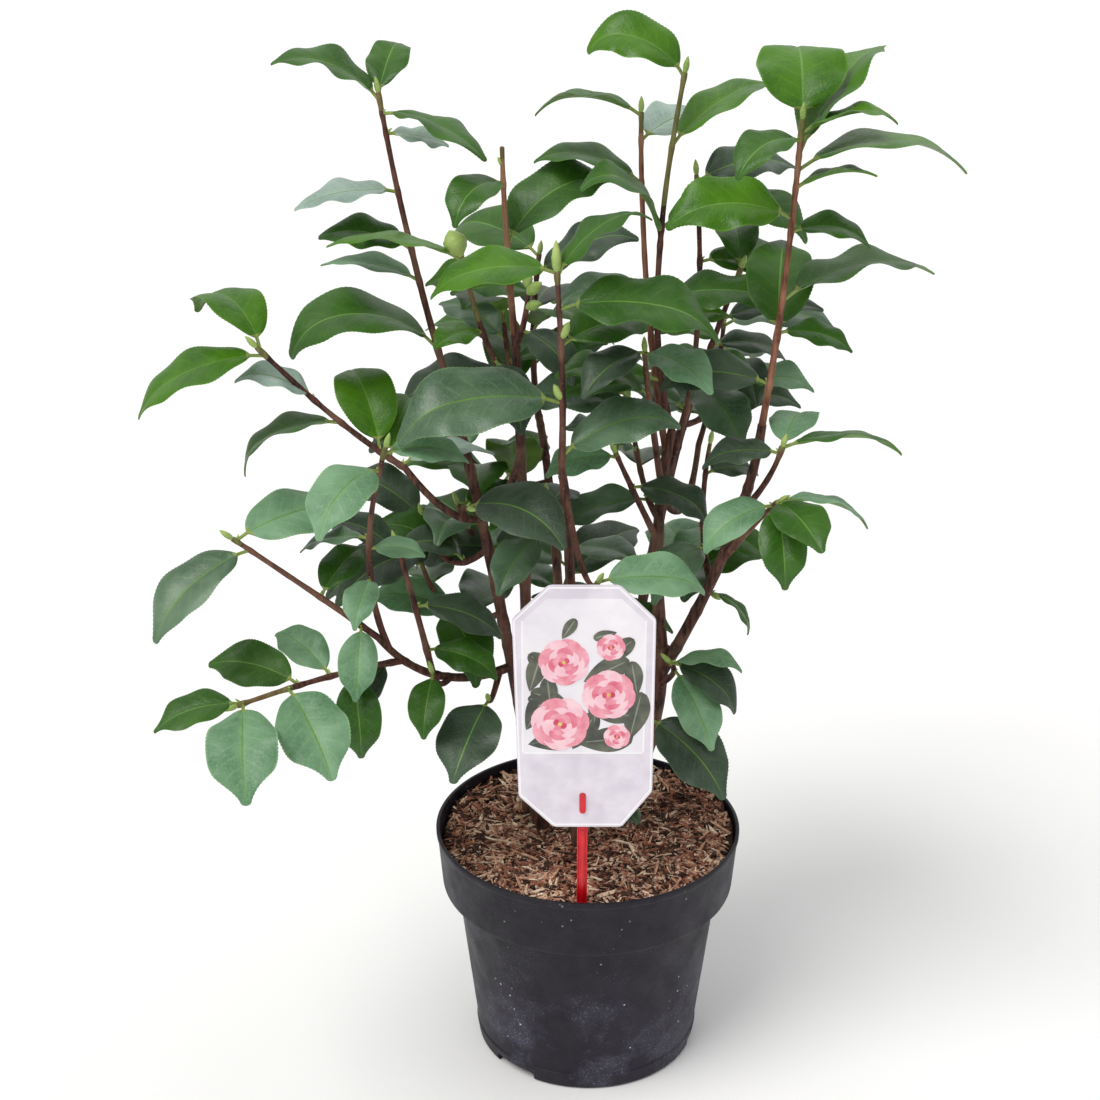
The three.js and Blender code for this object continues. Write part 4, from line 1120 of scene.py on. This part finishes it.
# One chip in so many is a longer sliver that lies flatter
SLIVER_EVERY = 4
radius, heading, level = scatter(CHIPS, POT_RIM - inset - 3.5)
for k in range(CHIPS):
    long = rng.uniform(1.1, 3.6) * (2.3 if k % SLIVER_EVERY == 0 else 1)
    size = np.array([long, rng.uniform(0.3, 0.95), rng.uniform(0.25, 0.55)])
    corner = CUBE * size * (1 + 0.45 * rng.normal(size=(8, 3)).clip(-1, 1))
    corner[:, 2] += 0.1 * size[0] * np.abs(CUBE[:, 0]) * rng.uniform(-1, 1)
    a, b, c = rng.uniform(0, 6.28), rng.normal(0, 0.42 if k % SLIVER_EVERY else 0.26), rng.normal(0, 0.45)
    spin = (np.array([[math.cos(a), -math.sin(a), 0], [math.sin(a), math.cos(a), 0], [0, 0, 1]])
            @ np.array([[math.cos(b), 0, math.sin(b)], [0, 1, 0], [-math.sin(b), 0, math.cos(b)]])
            @ np.array([[1, 0, 0], [0, math.cos(c), -math.sin(c)], [0, math.sin(c), math.cos(c)]]))
    at = [radius[k] * math.cos(heading[k]), radius[k] * math.sin(heading[k]),
          level[k] + rng.uniform(0, 2.4)]
    chips.add(kept_in(corner @ spin.T + at), CUBE_FACES,
              chip_tone(radius[k], heading[k], (0.34, 0.28, 0.22, 0.16)))
chips.make("soil_chips", CHIP_LOOKS, [], "soil", 30)

fibres = Gather()
radius, heading, level = scatter(FIBRES, POT_RIM - inset - 9)
for k in range(FIBRES):
    long, way = rng.uniform(5, 17), rng.uniform(0, 6.28)
    t = np.linspace(-0.5, 0.5, 7)
    bend = rng.normal(0, 0.4)
    along, aside = long * t, bend * long * t ** 2
    x = radius[k] * math.cos(heading[k]) + along * math.cos(way) - aside * math.sin(way)
    y = radius[k] * math.sin(heading[k]) + along * math.sin(way) + aside * math.cos(way)
    z = level[k] + rng.uniform(0.8, 2.2) + along * rng.normal(0, 0.1)
    thick = rng.uniform(0.18, 0.5)
    path = kept_in(np.stack([x, y, z], 1))
    fibres.add(*tube(path, thick * (1 - 0.6 * np.abs(t * 2) ** 3), 5),
               chip_tone(radius[k], heading[k], (0.2, 0.26, 0.28, 0.26)))
fibres.make("soil_fibres", CHIP_LOOKS, [], "soil")


# --- Picture card and stick ---

def prism(outline, front, back, y0, x0, z0):
    """A flat plate: outline in the card's plane, from y0 + front to y0 + back."""
    outline = np.asarray(outline, float)
    n = len(outline)
    near = np.stack([x0 + outline[:, 0], 0 * outline[:, 0] + y0 + front, z0 + outline[:, 1]], 1)
    far = near + [0, back - front, 0]
    faces = [tuple(range(n)), tuple(range(2 * n - 1, n - 1, -1))]
    faces += [((i + 1) % n, i, n + i, n + (i + 1) % n) for i in range(n)]
    return np.vstack([near, far]), faces


def card_paint(name, dark, light, scale=60):
    paint = Paint(name, 0.35, Specular_IOR_Level=0.5, Coat_Weight=0.2, Coat_Roughness=0.2)
    soft = paint.ramp(paint.noise(scale, 4), 0.35, 0.65)
    paint.colour(paint.mix(soft, dark, light))
    paint.rough(paint.ramp(paint.noise(200, 3), 0.3, 0.7, 0.3, 0.43))
    paint.bump(paint.noise(900, 3), 0.00004)
    return paint.material


CARD_LOOKS = {
    "sheet": card_paint("card_sheet", (218, 210, 222), (236, 229, 240)),
    "panel": card_paint("card_panel", (232, 228, 236), (248, 245, 250), 30),
    "leaf": card_paint("card_leaf", (58, 62, 54), (104, 108, 90), 90),
    "vein": card_paint("card_vein", (120, 128, 112), (150, 156, 140), 90),
    "petal": card_paint("card_petal", (232, 128, 150), (246, 176, 190), 140),
    "pale": card_paint("card_pale", (246, 190, 204), (252, 214, 222), 140),
    "rose": card_paint("card_rose", (222, 98, 128), (240, 146, 166), 140),
    "heart": card_paint("card_heart", (200, 50, 84), (222, 88, 112), 140),
    "stamen": card_paint("card_stamen", (214, 176, 84), (236, 206, 120), 200),
    "frame": card_paint("card_frame", (246, 243, 248), (252, 250, 253)),
}
half, cut, high = CARD_WIDE / 2, CARD_CORNER, CARD_HIGH
sheet_outline = [(-half + cut + 3, 0), (half - cut + 3, 0), (half, cut + 3), (half, high - cut),
                 (half - cut, high), (-half + cut, high), (-half, high - cut), (-half + 3, cut)]


def soft_corners(outline, cut, steps=4):
    """A closed outline with each corner rounded."""
    out = []
    for k in range(len(outline)):
        before, here, after = (np.array(outline[(k + i) % len(outline)], float) for i in (-1, 0, 1))
        out += round_off(before, here, after, cut, np.linspace(0, 1, steps))
    return out


card = Gather()
points, faces = prism(soft_corners(sheet_outline, 2), -CARD_THICK / 2, CARD_THICK / 2,
                      CARD_Y, CARD_X, CARD_FOOT)
card.add(points, faces)
card_piece = card.make("card_sheet", [CARD_LOOKS["sheet"]], ["label_card"], "card", 30)
# The slot that the stick's head comes through
slot_half = SLOT_WIDE / 2 - 0.5
slot_outline = [(-slot_half, SLOT_LOW), (slot_half, SLOT_LOW), (slot_half, SLOT_HIGH),
                (-slot_half, SLOT_HIGH)]
points, faces = prism(soft_corners(slot_outline, slot_half * 0.95, 7), -3, 3, CARD_Y, CARD_X, 0)
slot_mesh = bpy.data.meshes.new("slot")
slot_mesh.from_pydata((points * MM).tolist(), [], faces)
cutter = bpy.data.objects.new("slot", slot_mesh)
scene.collection.objects.link(cutter)
cut_from(card_piece, cutter)

PRINT_FRONT = -CARD_THICK / 2 + 0.02
printed = Gather()
LAYERS = ["panel", "leaf", "vein", "petal", "pale", "heart", "stamen", "frame", "rose"]


def stamp(outline, look, level):
    """Prints a flat shape on the card, each level a hair in front of the last."""
    points, faces = prism(outline, PRINT_FRONT - 0.03 - 0.008 * level, PRINT_FRONT,
                          CARD_Y, CARD_X, CARD_FOOT)
    printed.add(points, faces, LAYERS.index(look))


def petal_outline(x, z, heading, long, wide):
    """A petal or leaf from its foot at x, z, with a small notch at its tip."""
    t = np.linspace(0, 1, 14)
    edge = wide / 2 * np.sin(np.pi * t ** 1.25) ** 0.7
    notch = long * (t - 0.05 * np.exp(-((t - 1) / 0.06) ** 2))
    up = np.stack([notch, edge], 1)
    down = np.stack([notch[1:-1], -edge[1:-1]], 1)[::-1]
    both = np.vstack([up, down])
    a = math.radians(heading)
    return np.stack([x + both[:, 0] * math.cos(a) - both[:, 1] * math.sin(a),
                     z + both[:, 0] * math.sin(a) + both[:, 1] * math.cos(a)], 1)


def disc(x, z, radius):
    a = np.linspace(0, 2 * np.pi, 16, endpoint=False)
    return np.stack([x + radius * np.cos(a), z + radius * np.sin(a)], 1)


# The printed panel with its two upper corners cut, and a thin frame below and beside it
panel_low, panel_high, bevel = 48, high - 8, 13
side = half - 6
stamp([(-side, panel_low), (side, panel_low), (side, panel_high - bevel), (side - bevel, panel_high),
       (-side + bevel, panel_high), (-side, panel_high - bevel)], "panel", 0)
FRAME = 0.9
stamp([(-side, panel_low - FRAME), (side, panel_low - FRAME), (side, panel_low), (-side, panel_low)],
      "frame", 1)
for way in (-1, 1):
    stamp([(way * side, panel_low), (way * (side + FRAME), panel_low),
           (way * (side + FRAME), panel_high - bevel), (way * side, panel_high - bevel)][::way],
          "frame", 1)
# A white edge all round the card, a little inside its outline
EDGE_AT = 0.985
middle_of_card = np.array([0, high / 2])
for k in range(8):
    a, b = (np.array(sheet_outline[i % 8], float) for i in (k, k + 1))
    a, b = (middle_of_card + (p - middle_of_card) * EDGE_AT for p in (a, b))
    inward = unit(np.array([a[1] - b[1], b[0] - a[0]]))
    stamp([a, b, b + inward, a + inward], "frame", 0.3 + 0.1 * (k % 2))
# Dark leaves, each with a vein: foot, heading and length
for k, (x, z, heading, long) in enumerate((
        (-31, 53, 12, 32), (-4, 54, 6, 34), (-32, 62, 64, 28), (26, 56, 78, 32), (-6, 50, 60, 28),
        (-20, 84, 196, 12), (-8, 78, 160, 24), (2, 76, -12, 28), (0, 92, 28, 30), (-14, 96, 142, 22),
        (-30, 86, 74, 24), (12, 104, 42, 22), (30, 84, 100, 22), (-12, 118, 58, 15), (18, 122, 196, 14),
        (6, 66, 84, 22), (-18, 74, 96, 22))):
    stamp(petal_outline(x, z, heading, long, long * 0.46), "leaf", 2 + 2 * k)
    stamp(petal_outline(x, z, heading, long * 0.92, 0.9), "vein", 3 + 2 * k)
# Open blossoms over them: middle, size and first heading. Each ring of petals has two tones
# by turns, its share of the blossom's size and its number of petals.
RINGS_OF_PETALS = ((("petal", "pale"), 1.0, 7), (("pale", "petal"), 0.82, 6),
                   (("pale", "rose"), 0.62, 6), (("petal", "pale"), 0.42, 5),
                   (("heart", "rose"), 0.24, 4))
BLOSSOM_LEVEL = 38
for x, z, size, start in ((-13, 66, 17.5, 10), (14, 84, 16, 40), (-11, 104, 15, 70), (19, 58, 8, 15),
                          (15, 113, 8.5, 55)):
    level = BLOSSOM_LEVEL
    for ring, (looks, share, count) in enumerate(RINGS_OF_PETALS):
        for k in range(count):
            turn_by = start + 36 * ring + k * 360 / count
            stamp(petal_outline(x, z, turn_by, size * share, size * share * 0.98), looks[k % 2], level)
            level += 1
    stamp(disc(x, z, size * 0.07), "stamen", level)
printed.make("card_print", [CARD_LOOKS[key] for key in LAYERS], [], "card", 30)

stick_paint = Paint("stick_red", 0.32, Specular_IOR_Level=0.5, Coat_Weight=0.2)
tone = stick_paint.ramp(stick_paint.noise(120, 3), 0.35, 0.65)
stick_paint.colour(stick_paint.mix(tone, (196, 4, 24), (222, 16, 36)))
stick_paint.bump(stick_paint.noise(600, 3), 0.00008)

# The stick's section: a flat bar whose front has a raised rib between two grooves
y = CARD_Y + CARD_THICK / 2 + GAP + STICK_THICK / 2
w, d = STICK_WIDE / 2, STICK_THICK / 2
groove, rib, edge = -d + 0.45, -d - 0.5, 0.3
section = [(-w, -d + edge), (-w + edge, -d), (-2.3, -d), (-1.9, groove), (-1.1, groove), (-0.9, rib),
           (0.9, rib), (1.1, groove), (1.9, groove), (2.3, -d), (w - edge, -d), (w, -d + edge),
           (w, d - edge), (w - edge, d), (-w + edge, d), (-w, d - edge)]
stick = Gather()


def bar(section, low, high):
    """A length of the stick, with ends that taper a little."""
    section = np.asarray(section)
    rings = [(low, 0.85), (low + 0.6, 1), (high - 0.6, 1), (high, 0.85)]
    points = np.vstack([np.stack([CARD_X + section[:, 0] * k, y + section[:, 1] * k,
                                  0 * section[:, 0] + z], 1) for z, k in rings])
    return points, skin_faces(len(rings), len(section), False)


# The rib ends below the card, where the flat upper length starts
upper = [(x, max(v, -d)) for x, v in section]
stick.add(*bar(section, STICK_FOOT, SLOT_LOW - 12))
stick.add(*bar(upper, SLOT_LOW - 12.5, STICK_TOP))
# The head that comes through the slot
points, faces = prism(soft_corners([(-1.6, 0), (1.6, 0), (1.6, 12.4), (-1.6, 12.4)], 1.5, 7), -1.6, 2,
                      CARD_Y, CARD_X, SLOT_LOW + GAP)
stick.add(points, faces)
stick.make("stick_bar", [stick_paint.material], ["label_stick"], "stick", 30)


# --- Floor ---

# Near white; the light from the world is white too
floor_paint = Paint("floor_pale", 0.9, Specular_IOR_Level=0.1)
pale = floor_paint.ramp(floor_paint.noise(3, 2), 0.3, 0.7)
floor_paint.colour(floor_paint.mix(pale, (246, 246, 247), (250, 250, 251)))
# Wide enough to fill the picture, and a hair below the pot's foot
FLOOR_WIDE, FLOOR_LEVEL = 60, -0.0002
bpy.ops.mesh.primitive_plane_add(size=FLOOR_WIDE, location=(0, 0, FLOOR_LEVEL))
floor = bpy.context.object
floor.name = "floor"
floor.data.materials.append(floor_paint.material)
